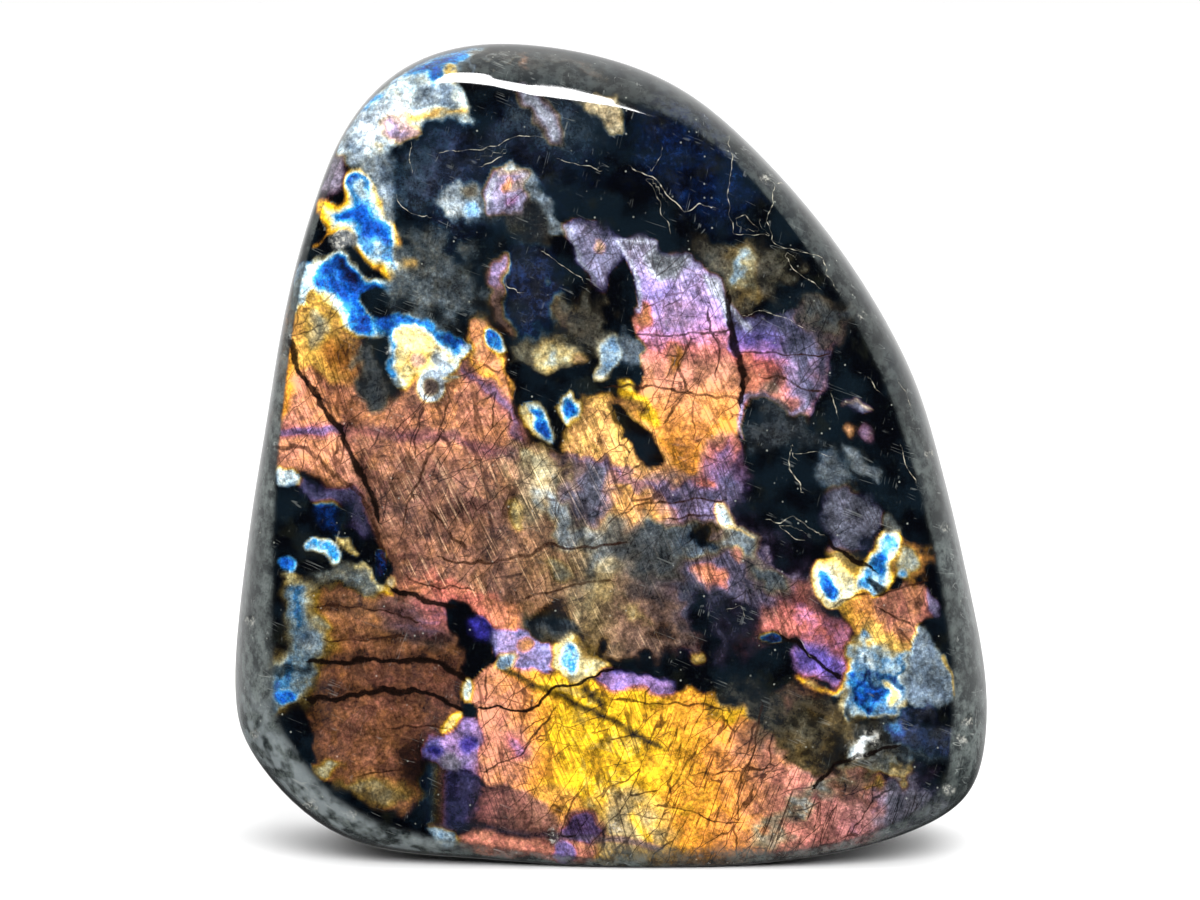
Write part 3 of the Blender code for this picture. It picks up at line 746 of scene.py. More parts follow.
flash([(7, 64), (14, 64), (19, 65), (21.4, 62.6), (17.6, 58.6), (12, 55), (8, 54), (5, 57)],
      [(5, 0.80), (12, 0.86), (20, 0.90)], [(5, 0.54), (14, 0.50), (20, 0.40)], 0.4, soft=3.4,
      ragged=1.4, cracks=0.9)
flash([(-5, 66), (2, 64.6), (8, 62.6), (11.6, 61), (11, 58), (5, 56.4), (-1, 58.6), (-4, 62)], 0.57,
      0.76, 0.12, soft=3.4, ragged=1.6, cracks=1.0, streaks=0.6)
flash([(5, 58), (9, 58), (13, 56.4), (12, 53), (7, 53)], 0.27, 0.36, 0.7, soft=2.4, ragged=1.4)
flash([(4, 57), (9, 56), (14, 52), (12, 49), (5, 48.5), (1, 52)], 0.33, 0.28, 0.8, soft=3,
      ragged=1.6)
flash([(15.6, 59), (19, 57), (23, 54.8), (27, 53.2), (31.4, 51), (34, 47.6), (30, 43.6),
       (26, 43), (21, 44.6), (15, 47), (13, 50), (14, 54)], [(13, 0.90), (22, 0.88), (33, 0.84)],
      [(13, 0.38), (20, 0.46), (28, 0.42), (33, 0.36)], 0.5, soft=2.4, ragged=1.2, cracks=0.9)
flash([(11, 58), (19, 57.6), (21, 53), (15, 51.5), (11, 53)], 0.24, 0.34, 0.6, soft=2.5,
      ragged=1.5)
flash([(19.6, 57), (23, 56.6), (25.4, 53.6), (24, 50.4), (20, 51.4)], 0.30, 0.50, 0.6, soft=1.6,
      ragged=1.2)
flash([(25, 52), (29, 51), (31, 47), (27, 45), (24, 48)], 0.30, 0.34, 0.7, soft=2.4, ragged=1.4)
darken([(15, 58), (19.4, 56.6), (19, 53.6), (15.6, 54.4)], 0.8, 1.4, 1.4)
darken([(24, 56), (30, 54), (33.4, 50.4), (31, 50.6), (27, 53)], 0.7, 1.4, 1.4)
flash([(13.2, 49.6), (16, 50.8), (19.6, 48.6), (19, 46), (15.4, 46.8)], 0.69, 0.86, soft=1.3,
      ragged=0.8)
spot(21.6, 52, 1.5, 1.2, 0.69, 0.80, 0.1, soft=1.0, ragged=0.8)
spot(15.4, 64, 2.6, 1.0, 0.72, 0.7, soft=1.4)
flash([(17, 60.8), (18.4, 61), (20.2, 58.6), (21.4, 56.6), (19, 56.2), (17.4, 58)], 0.33, 0.95,
      0.3, rim=0.47, rim_width=0.8, soft=0.6, ragged=0.3)
vein([(19.8, 57), (21.6, 56.2), (23.6, 55)], 0.5, 0.48, 0.75, 0.9, 0.1, 0.3)
flash([(-17, 68.6), (-12, 69), (-8, 67), (-6, 62), (-9, 57), (-14, 56), (-18, 60)], 0.50, 0.54,
      0.45, soft=5, ragged=2.0, cracks=0.9, streaks=1.0)
flash([(-16, 67.6), (-13, 68.4), (-10, 65.8), (-12, 63.8)], 0.42, 0.72, 0.3, soft=1.6, ragged=1.4)
flash([(-12, 64), (-8, 62), (-3, 57), (-6, 55), (-12, 59)], 0.31, 0.58, 0.75, soft=2.6, ragged=1.8)
flash([(-10, 57), (-5, 58), (0, 56.4), (-2, 54.6), (-8, 54.4)], 0.34, 0.58, 0.8, soft=2.0,
      ragged=1.8)
flash([(-18, 61), (-16, 62), (-14.2, 57), (-15.8, 55.6)], 0.45, 0.70, 0.1, soft=1.4, ragged=0.8)
flash([(-11, 52.4), (-8.4, 51), (-6.4, 48.4), (-8, 47.4), (-10.6, 50)], 0.40, 0.56, 0.3, soft=1.4)
flash([(-8, 66), (-2, 66), (0, 60), (-6, 58)], 0.9, 0.46, 0.7, soft=3, ragged=1.8)
vein([(-9, 68), (-2, 66.4), (6, 64), (12, 62)], 1.3, 0.93, 0.40, 0.6, 0.4, 1.0)

# %% [markdown]
# The brightest field is the gold at the foot. It starts salmon pink at the left, turns to
# pure yellow, and runs through orange and copper to a dull rose at the right.

# %% The gold field at the foot
flash([(-22.4, 32), (-18.4, 35.4), (-15, 35.6), (-12, 33), (-8.5, 31.6), (-4, 32), (0, 30.4),
       (3, 29.4), (8, 29.7), (12, 30.4), (16, 29.4), (18, 27.4), (22, 27), (25, 24.6),
       (28.4, 21), (31, 17.4), (35, 16), (41, 15), (46, 14), (50, 13), (55, 12), (58, 8.5),
       (52, 3), (42, 1.5), (30, 0.5), (18, -0.5), (8, -0.5), (0, 0.5), (-6, 3), (-9, 6),
       (-10, 9), (-13, 12), (-17, 13.6), (-22, 15), (-22.6, 19), (-22, 24), (-23, 27.4)],
      [(-22, 0.675), (-15, 0.635), (-11, 0.55), (-4, 0.50), (4, 0.505), (9, 0.535), (15, 0.57),
       (22, 0.62), (28, 0.68), (36, 0.73), (46, 0.75), (54, 0.84)],
      [(-22, 1.06), (-14, 1.04), (-8, 1.0), (6, 0.98), (16, 0.93), (26, 0.80), (36, 0.72),
       (46, 0.60), (52, 0.42), (58, 0.3)],
      [(-22, 0.05), (-10, 0.0), (20, 0.0), (35, 0.12), (48, 0.35), (55, 0.6)], soft=0.9,
      ragged=0.8, cracks=1.0, streaks=0.0)
flash([(-21, 24), (-16, 25), (-13, 20), (-15, 17), (-20, 17)], 0.67, 1.06, 0.05, soft=4)
flash([(43, 12), (50, 15), (57, 13), (58, 8), (52, 4), (46, 4)], 0.86, 0.36, 0.75, soft=5,
      ragged=2.0)
flash([(-17.6, 22), (-14.6, 22.4), (-13.6, 18.4), (-16.6, 18)], 0.79, 0.90, 0.1, soft=2)
flash([(-11, 27), (-4, 26), (2, 24), (7, 21), (4, 15), (-2, 14), (-8, 18)], 0.495, 1.0, soft=4)
flash([(-13, 30.4), (-6, 30.6), (-3, 28.6), (-8, 29), (-12, 28.6)], 0.48, 0.9, soft=2)
flash([(-1, 12), (4, 13), (9, 9), (10, 3), (4, 0), (-3, 3), (-5, 8)], 0.47, 0.72, 0.3, soft=4,
      ragged=1.6)
flash([(-14, 14), (-9, 14.6), (-4, 12), (-5.4, 7), (-9, 6.6), (-10, 9.6)], 0.56, 0.86, 0.05,
      soft=1.2)
flash([(2.4, 9.8), (4.4, 9.8), (6.4, 7), (7.8, 3.4), (5.4, 4.6), (3.6, 7.4)], 0.485, 0.97,
      soft=0.8, ragged=0.5)
flash([(15, 29.6), (18, 27.8), (21.4, 27), (24.8, 25), (20, 23.6), (15, 25)], 0.51, 0.60, 0.0,
      soft=1.6, ragged=1.0)
flash([(19.6, 24), (24, 23.4), (28.6, 20), (30.4, 16), (26, 15), (21, 18)], 0.655, 0.62, 0.05,
      soft=3, ragged=1.2)
flash([(-1.4, 33.2), (3, 32.8), (7, 32), (11, 31.2), (11.4, 29.4), (6, 29), (2, 28.8),
       (-1.4, 30.2)], 0.87, 0.68, 0.15, rim=0.95, rim_width=0.8, soft=1.0)
vein([(-18, 34.2), (-14, 30.8), (-8, 28.2), (-3, 26), (1, 24), (5, 21.6), (8.6, 19.8)], 1.1,
     0.5, 0.16, 0.85, 0.0, 0.5)
vein([(-4.6, 30.4), (-2.4, 28.8), (-0.8, 26.4)], 1.4, 0.5, 0.15, 0.8)
flash([(-25.4, 10), (-22, 13.6), (-17, 13.8), (-13, 12.4), (-9.6, 9.8), (-7.6, 6.6), (-10, 5.4),
       (-16, 6), (-25, 7)], [(-25, 0.80), (-18, 0.70), (-9, 0.66)], [(-25, 0.4), (-15, 0.6)],
      0.12, soft=1.4, cracks=0.8)
vein([(24, 4), (28, 7.4), (33, 12), (36, 14), (40, 15.4), (44, 18.6)], 2.0, 0.42, 0.46, 0.75,
     0.75, 1.8)
vein([(31, 10), (35, 14), (40, 16.6), (43, 19)], 0.8, 0.34, 0.66, 0.7, 0.85, 2.0)
flash([(36, 15), (41, 17), (45, 15), (42, 11.6), (38, 10.4)], 0.68, 0.46, 0.1, soft=2,
      ragged=1.4)
spot(45.2, 16.4, 2.0, 1.3, 0.36, 0.62, 0.15, rim=0.46, soft=1.2, ragged=1.6)
spot(48.6, 15, 2.2, 1.1, 0.44, 0.58, 0.15, rim=0.36, soft=1.2, ragged=1.6)
spot(43.4, 13.6, 1.4, 0.8, 0.48, 0.50, 0.1, soft=1.0, ragged=1.2)
spot(49.8, 17.4, 1.2, 0.8, 0.28, 0.50, 0.2, soft=1.0, ragged=1.2)
flash([(50, 18.4), (53.4, 18.6), (56, 21.4), (53.4, 20.8), (51, 19.8)], 0.33, 0.62, 0.2,
      rim=0.46, rim_width=0.8, soft=0.8)
flash([(-9.4, 5.6), (-5.4, 9.4), (-1.6, 8), (-1.4, 4.6), (-5.4, 4)], 0.88, 0.40, 0.1, soft=1.6)

# %% The lilac fields between the brown and the gold
flash([(-37, 47), (-30, 49.4), (-25, 47.8), (-20, 45.2), (-15, 42.4), (-14.4, 40.6), (-17, 38.2),
       (-20, 40.2), (-23, 42), (-27, 43.4), (-31, 45)], [(-37, 0.66), (-26, 0.72), (-15, 0.66)],
      [(-37, 0.5), (-28, 0.80), (-18, 0.93)], soft=1.4, ragged=0.8, cracks=0.7)
flash([(-33, 45), (-28, 45), (-25.4, 41.4), (-27, 39), (-31, 41.4)], 0.76, 0.58, 0.1, soft=2)
darken([(-27, 45), (-23.4, 43), (-20.8, 39.4), (-19.6, 35.5), (-21.4, 31.6), (-23.6, 31),
        (-25, 33.5), (-24.8, 37), (-26.8, 41)])
flash([(-23.6, 42), (-20.6, 41), (-19.8, 38.6), (-21.4, 37.2), (-23.4, 39)], 0.99, 0.66,
      soft=1.2, ragged=0.5)
flash([(-20.6, 36.6), (-19.8, 40.2), (-17.4, 39.6), (-16, 41), (-13.4, 39.4), (-11, 38.4),
       (-8.6, 35.6), (-9, 32.6), (-12, 32.8), (-15, 34.4), (-18, 34.6), (-20.6, 34.8)],
      [(-20, 0.90), (-17, 0.86), (-12, 0.90), (-9, 0.93)], 0.86, 0.35, rim=0.97, rim_width=0.9,
      soft=0.7, ragged=0.7)
flash([(-20, 34.6), (-17.6, 36), (-15, 36.2), (-15.6, 34.8), (-18.6, 33.4)], 0.26, 0.8, 0.4,
      soft=1.0)
flash([(-16.6, 37.2), (-14.6, 39), (-12, 38), (-14, 36.2)], 0.62, 0.93, 0.1, soft=0.8, ragged=0.4)
flash([(-10.8, 36.6), (-8, 38.7), (-5, 38.4), (-3, 35.2), (0.4, 34.2), (-2, 31.8), (-6, 31),
       (-10, 33)], 0.42, 0.85, 0.1, rim=0.5, rim_width=1.0, soft=0.9)
flash([(-9, 35), (-7.4, 37.8), (-5.2, 37.4), (-4.7, 34.5), (-5.6, 31.6), (-7.4, 32.8)], 0.22,
      0.97, rim=0.33, rim_width=0.9, soft=0.5, ragged=0.2)
flash([(-16, 42.6), (-10, 42), (-5, 41), (-5.4, 38.6), (-10, 38.8), (-14, 39.6)], 0.3, 0.22,
      0.7, soft=1.6)
spot(-23.8, 29.8, 1.2, 2.3, 0.34, 0.9, 0.1, rim=0.49, rim_width=0.8, ragged=0.2)
flash([(-29, 22.8), (-26.6, 25.7), (-24.6, 26), (-25, 24.2), (-27.6, 22.2)], 0.45, 0.9, soft=0.6,
      ragged=0.3)
flash([(-30.6, 21), (-27.4, 22.6), (-24, 25), (-21.8, 24), (-21.4, 20), (-22, 16.4),
       (-20.6, 14.4), (-24, 15), (-27, 17.4), (-30.4, 17.6), (-31.4, 19.6)],
      [(-30, 0.93), (-27, 0.84), (-24, 0.88), (-21.6, 0.80)], 0.74, 0.2, soft=1.2, ragged=1.0)
spot(-29.4, 19.6, 1.4, 1.3, 0.97, 0.7, soft=1.0)
spot(-23.6, 20.6, 1.3, 1.5, 0.97, 0.72, soft=1.0)
flash([(-28, 18.6), (-24, 19), (-22.8, 16), (-26, 15.4)], 0.86, 0.44, 0.7, soft=1.6, ragged=1.2)
flash([(-32, 17), (-28, 16.4), (-24, 15.2), (-20.8, 14), (-22, 10), (-24.4, 7), (-28, 6.6),
       (-32, 8)], [(-31, 0.05), (-27, 0.97), (-22, 0.90)], [(-31, 0.12), (-24, 0.34)], 0.15,
      soft=1.6, ragged=0.8)
flash([(-30.4, 7), (-26, 6.6), (-26, 3.6), (-29.8, 3.6)], 0.28, 0.72, 0.3, soft=1.0)
flash([(-26.4, 6), (-20, 5.4), (-13, 5), (-6, 4.4), (-2, 4), (-2.6, 1), (-10, 1), (-17, 1.6),
       (-25, 3)], 0.69, 0.78, 0.05, soft=1.2)
flash([(-9.6, 4.6), (-6, 4.8), (-6, 1), (-9.6, 1)], 0.88, 0.66, 0.2, soft=1.0)
vein([(-30, 7.2), (-20, 6.2), (-12, 5.4), (-2, 5), (8, 3.4)], 0.8, 0.86, 0.3, 0.55, 0.6, 0.4)

# %% [markdown]
# At the right, small bright fields lie on black stone. Each has a blue heart and a gold
# edge, as the layers close up towards its middle.

# %% The fields at the right
flash([(20, 36), (24, 40), (28, 44.6), (32, 47.6), (36, 46), (33, 41), (27, 38)], 0.71, 0.46,
      0.05, soft=4, ragged=1.2)
flash([(25.6, 40), (27.6, 43.6), (30.4, 45), (33, 43.4), (36, 41.6), (39, 41), (40.2, 38),
       (39.2, 35.5), (38.8, 32), (37.6, 29.8), (35, 31.6), (31, 32), (29.6, 35), (31, 37.6),
       (28, 39)], [(26, 0.725), (30, 0.735), (33, 0.77), (38, 0.775)],
      [(26, 0.80), (29, 0.93), (33, 0.80), (39, 0.66)], 0.05, soft=1.2, ragged=0.6, cracks=0.9)
flash([(30, 37), (34, 37.4), (38, 35.4), (38.4, 31), (36, 31.6), (33, 33), (30, 33)], 0.915,
      0.76, 0.05, soft=1.8, ragged=0.6)
darken([(24, 38), (28.4, 39.6), (32, 37), (31, 35.6), (29.6, 36.6), (26.4, 36)], 0.8)
spot(26.8, 38.2, 2.0, 0.7, 0.07, 0.6, soft=0.8)
flash([(26.4, 30), (31, 31.4), (35.6, 29), (34, 25.6), (28, 25.8)], 0.67, 0.36, 0.1, soft=2,
      ragged=1.0)
vein([(31, 31.8), (34.2, 30), (37.4, 29), (39.3, 31), (39.8, 34.4)], 0.9, 0.50, 0.92, 0.95, 0.0,
     0.3)
flash([(17, 30), (27, 31), (38, 27), (46, 24), (56, 26), (57, 18), (48, 16), (36, 16), (28, 20)],
      [(18, 0.40), (34, 0.47), (46, 0.36), (56, 0.28)], 0.20, 0.5, soft=4, ragged=2.4)
flash([(27, 27), (33, 26), (38, 25.4), (42, 22), (38, 18), (33, 16.6), (29, 19)], 0.48, 0.27,
      0.25, soft=3, ragged=2.4)
flash([(24, 26), (30, 26.4), (34, 23), (31, 20.4), (27, 22)], 0.42, 0.24, 0.4, soft=3,
      ragged=2.0)
flash([(36, 43.4), (38.5, 41.6), (39.5, 40.2), (40.6, 38.4), (44, 37), (48.8, 35.6), (50.6, 38),
       (51.8, 40.6), (54, 43.5), (53.6, 46.4), (50, 47.4), (45, 46), (41, 45), (38, 45)],
      [(36, 0.47), (41, 0.56), (45, 0.66), (54, 0.69)], [(36, 0.85), (43, 0.82), (54, 0.72)],
      0.05, soft=0.9, ragged=0.8, cracks=0.8)
flash([(40.4, 39.6), (44, 40.4), (48.6, 38), (48.4, 35.4), (44, 36)], 0.50, 0.72, 0.15, soft=1.8,
      ragged=1.0)
flash([(53, 47), (55, 44), (54.6, 41.4), (53, 43)], 0.86, 0.44, 0.5, soft=1.2)
flash([(36.6, 52), (37.6, 55.2), (40.4, 53.6), (42.6, 50.6), (41, 47.6), (38, 49)], 0.47, 0.50,
      0.1, soft=1.6)
flash([(33.7, 50), (35.6, 52.2), (38.2, 51.4), (41, 49.4), (41.8, 46), (39.2, 43.8),
       (36.4, 42.6), (34.6, 44.8), (33.6, 47.5)], 0.40, 0.97, 0.15, rim=0.49, rim_width=1.2,
      soft=0.6, ragged=0.35)
flash([(34.8, 49.6), (36.6, 50.2), (37.4, 48.4), (38.8, 46.4), (38, 44.2), (36.2, 44.2),
       (35.2, 46.6)], 0.14, 0.95, rim=0.33, rim_width=1.0, soft=0.8, ragged=0.4)
flash([(40.4, 48), (42, 51.4), (44, 54.8), (46, 57.2), (48.4, 56.6), (49, 54), (47.2, 51.4),
       (47.4, 49.4), (46.4, 46.6), (44, 45.6), (42.4, 45), (40.4, 46)], 0.24, 0.96, 0.05,
      rim=0.50, rim_width=1.6, soft=0.7, ragged=0.6)
flash([(42.8, 51.2), (45.2, 54), (46.4, 52), (46, 49.4), (43.4, 49.4)], 0.14, 0.9, rim=0.22,
      rim_width=0.8, soft=0.8)
darken([(42.4, 48.4), (44, 48.6), (45.4, 46.8), (44, 45.8), (42.6, 46.6)], 0.8, 0.8, 1.2)
flash([(47.6, 53.6), (51, 55), (53.6, 52.6), (53.2, 48.4), (51, 46.8), (48, 47.2), (46.8, 50)],
      0.56, 0.56, 0.05, soft=1.4, ragged=1.2)
spot(49.8, 50.8, 2.3, 2.4, 0.37, 0.62, 0.15, rim=0.48, rim_width=1.1, soft=0.8, ragged=0.6)
spot(48.8, 48.8, 1.2, 0.8, 0.22, 0.8, rim=0.34, soft=0.6)
flash([(39, 36.4), (40.8, 38.6), (44, 37.2), (47, 36.4), (49.4, 35.8), (49, 33), (50.6, 31),
       (49.6, 28.4), (48.6, 26), (45.4, 24.8), (43.5, 25.8), (41.4, 26), (40.4, 22.6),
       (38.6, 23.4), (38, 26.5), (37.4, 29.4), (39.4, 32)], 0.25, 0.60, 0.2, rim=0.46,
      rim_width=1.5, soft=0.9, ragged=1.3)
flash([(39.6, 32.6), (42.2, 31.2), (44.6, 31), (46.2, 28.6), (43.6, 26.6), (40.8, 28), (39, 30)],
      0.15, 0.80, rim=0.26, rim_width=1.0, soft=1.2, ragged=1.2)
vein([(40, 30), (42.6, 31.6), (45.4, 31), (48.4, 32.4)], 0.9, 0.10, 0.30, 0.8, 0.0, 1.6)
vein([(42.8, 26), (43.6, 29), (46.8, 32.6)], 0.7, 0.12, 0.34, 0.8, 0.0, 1.6)
darken([(38.6, 26), (41.6, 27), (43, 24.6), (40.6, 22)], 0.6, 1.6, 1.6)
flash([(40.4, 37), (43.4, 36.6), (46, 33.6), (43, 32.8), (41, 34)], 0.32, 0.88, 0.5, soft=1.2,
      ragged=1.2)
flash([(45, 31.6), (47, 31), (48, 28), (46.4, 27)], 0.45, 0.80, soft=1.0, ragged=1.0)
darken([(41.4, 35.6), (43.6, 35), (44.4, 33), (42, 33.6)], 0.6, 0.8, 1.6)
flash([(49, 35.4), (50.4, 38), (51.4, 40.2), (54.2, 37.6), (56.4, 34.4), (57.8, 30.6),
       (57, 27.4), (53, 26), (49.4, 27.2), (48.6, 30.5)], 0.25, 0.50, 0.6, rim=0.33,
      rim_width=1.2, soft=0.9, ragged=0.7)
vein([(55.8, 35.2), (57, 32.4), (57.4, 29)], 0.6, 0.5, 0.66, 0.85, 0.0, 0.4)
vein([(50, 35.4), (49.8, 37.6), (51, 39.6)], 0.6, 0.34, 0.85, 0.8, 0.3, 0.4)
flash([(45.4, 24.4), (50, 26), (55, 25.6), (58.6, 23.4), (57, 20), (51, 20), (46.6, 20)],
      [(46, 0.10), (50, 0.05), (57, 0.06)], 0.46, 0.15, soft=2, ragged=1.4)
spot(46.8, 22.6, 1.4, 1.2, 0.17, 0.62, 0.1, soft=1.0, ragged=0.8)
flash([(38.6, 18.6), (40, 20.2), (41.6, 21), (44.8, 22.9), (43, 20.9), (42.4, 19.4), (40.4, 18.6)],
      0.34, 1.1, 0.9, soft=0.5, ragged=0.5, cracks=0.1)
vein([(38.4, 16.2), (41.6, 18.2), (44.6, 19.6), (47.4, 20.4)], 0.7, 0.36, 0.52, 0.8, 0.8, 1.2)
flash([(33, 68.6), (37, 69.6), (41.6, 64.4), (40, 61.6), (35, 62.6)], 0.28, 0.42, 0.7, soft=2,
      ragged=1.0)
flash([(33.6, 61), (40, 63), (45, 61), (44, 56.6), (41.4, 53), (38, 54.4), (35, 57)], 0.93, 0.44,
      0.7, soft=1.6, ragged=1.0, cracks=0.8)
flash([(38, 71), (41.4, 70), (45.6, 64.8), (43, 64), (38.6, 68.6)], 0.3, 0.40, 0.75, soft=1.2)
flash([(38.6, 77), (41.4, 78.2), (43.6, 76.4), (43, 75), (39.2, 75.2)], 0.90, 0.42, 0.7,
      soft=1.2, ragged=0.8)
vein([(38.8, 76.4), (41, 77.6), (43.4, 76.2)], 0.6, 0.30, 0.56, 0.7, 0.7, 0.6)
spot(39.8, 72.6, 0.9, 1.0, 0.58, 0.66, 0.25, soft=1.2, ragged=0.5)
spot(42.8, 72.4, 1.1, 0.9, 0.80, 0.52, 0.3, soft=1.2, ragged=0.5)
flash([(44, 59), (48, 58.6), (49.4, 56), (46, 56)], 0.36, 0.34, 0.5, soft=1.4)
darken([(14, 47), (17, 45.4), (17.4, 38), (16, 33), (13.8, 34), (13.6, 40)], 0.85, soft=1.6)
flash([(-3, 47), (4, 47.6), (12, 46), (13.6, 40), (11, 35), (3, 34.8), (-2, 36), (-4, 41)],
      [(-4, 0.48), (4, 0.62), (12, 0.62)], [(-4, 0.52), (4, 0.44), (12, 0.36)], 0.35, soft=3,
      ragged=1.8, cracks=0.4, streaks=0.8)
spot(14.4, 35.2, 1.0, 1.2, 0.46, 0.56, 0.1, soft=0.9, ragged=0.8)
flash([(-4.6, 43.4), (-3, 47), (-0.4, 50.4), (2.4, 51), (1.6, 47.4), (-1, 43.6)], 0.46, 0.62, 0.3,
      soft=2.4, ragged=1.4, streaks=1.0)
flash([(1, 44), (4.4, 45.6), (5, 42.4), (2, 41)], 0.48, 0.56, 0.3, soft=2.4, ragged=1.6)
darken([(-13, 42.8), (-8, 44), (-5.4, 41.6), (-8, 40), (-13, 40.8)], 0.7, 1.8, 1.6)
darken([(5, 40), (8, 41.6), (10.6, 38.4), (7, 37)], 0.5, 2.0, 1.6)
darken([(17, 45), (23, 44), (27, 40.6), (24, 36), (18, 34)], 0.5, 3.0, 2.0)
darken([(30, 27.6), (34, 25.6), (33.4, 22), (29, 23)], 0.5, 2.5, 2.2)
darken([(33, 20), (38, 21.4), (38.6, 18.6), (34, 17)], 0.6, 2.0, 2.0)
darken([(-1, 35.6), (5, 35), (12, 34.4), (14, 31.6), (8, 32), (2, 33.2)], 0.85, soft=1.2)
print("flash laid: mean glow", round(float(glow[front > 0.5].mean()), 2))

# %% [markdown]
# On the ground edges and the sides the light comes in at another angle, and the flash goes
# out. There the stone is a plain grey, a little translucent; faces that look down get a
# painted shade instead and stay nearly black. At the top left the flash reaches over the
# edge. The back has a few weak clouds of flash of its own.

# %% The edges, the sides and the back
level = ease((-normals[:, 1] - 0.78) / 0.16)
top_edge = ease((normals[:, 2] - 0.12) / 0.2) * ease((-normals[:, 1] + 0.1) / 0.2)
foot_edge = ease((-normals[:, 2] - 0.1) / 0.2) * ease((-normals[:, 1] - 0.35) / 0.2)
near_table = ease((4.6 - up) / 2.8) * ease((across + 4.0) / 6.0) * front
keeps_flash = np.clip(np.maximum(level, np.maximum(top_edge * 0.9, foot_edge * 0.5)), 0.0, 1.0)
keeps_flash = keeps_flash * (1.0 - 0.8 * near_table)
grey_edge_and_under_shade = np.maximum(1.0 - np.maximum(level, top_edge * 0.6), near_table)

edges = np.empty(len(stone.data.edges) * 2, dtype=int)
stone.data.edges.foreach_get("vertices", edges)
one_end, other_end = edges[0::2], edges[1::2]
neighbours = np.bincount(one_end, minlength=count) + np.bincount(other_end, minlength=count)


def softened(values, rounds):
    """Spreads values to the neighbouring points, a little further each round."""
    for _ in range(rounds):
        total = np.bincount(one_end, values[other_end], count)
        total += np.bincount(other_end, values[one_end], count)
        values = 0.4 * values + 0.6 * total / neighbours
    return values


# Faces that look down towards the floor lose the grey edge colour and keep the nearly black body: a
# painted shade.
painted_shade_underneath = ease((-normals[:, 2] - 0.35) / 0.3) * ease((normals[:, 1] + 0.52) / 0.2)
grey_edge_and_under_shade = softened(grey_edge_and_under_shade, 6) * (1.0 - painted_shade_underneath)
glow = glow * (0.15 + 0.85 * softened(keeps_flash, 6))

behind = ease((normals[:, 1] - 0.2) / 0.4)
clouds = cloud(26.0, 8) + 0.45 * slow_swing[0] + 0.3 * cloud(4.0, 10)
glow = np.maximum(glow, behind * 0.72 * ease((clouds - 0.05) / 0.4))
hue = np.where(behind > 0.01, 0.14 + 0.56 * ease(0.5 + 0.45 * clouds + 0.5 * cloud(34.0, 9)), hue)
milk = np.where(behind > 0.01, 0.15, milk)
grey_edge_and_under_shade = grey_edge_and_under_shade * (1.0 - 0.8 * behind)
cracked = np.where(behind > 0.01, 0.5, cracked)

# %% [markdown]
# The large cracks are drawn one by one, because each has its own course. A point keeps its
# distance from the nearest crack, counted positive on one side and negative on the other,
# so that the material can draw a fine even line between the points of the net.

# %% The large cracks
wide_cracks = [
    (0.55, [(-53, 88), (-52.6, 84.4), (-51.2, 81), (-49.4, 79.2), (-47.4, 76.4), (-45.6, 73.6),
            (-43.8, 70), (-41.8, 66), (-39.8, 61.8), (-38.4, 58.6)]),
    (0.50, [(-50, 34.4), (-45, 34.2), (-40, 34.7), (-34, 34.5), (-29.5, 34.8), (-26.5, 33.2),
            (-24.6, 31.6)]),
    (0.45, [(-50, 28.2), (-45.5, 27.8), (-41, 28.9), (-36, 29.7), (-31, 29.3), (-28, 28.1),
            (-25.4, 26.4)]),
    (0.60, [(19.6, 95.6), (19.7, 91), (20.4, 88), (21.4, 85.5), (21.9, 82), (21.5, 78)]),
    (0.45, [(-36, 46.4), (-31, 44.8), (-26, 43.2)]),
    (0.35, [(36.6, 54.5), (40, 52.2), (43.4, 50)]),
    (0.40, [(34, 13.4), (37, 17.2), (41, 19), (47, 20)]),
    (0.25, [(-22, 26.7), (-17, 26.4), (-12, 27), (-9.6, 29.8), (-5, 31), (0, 33)]),
    (0.30, [(28.4, 38.8), (31.6, 36.6), (35, 33.6), (38, 31.6)]),
]
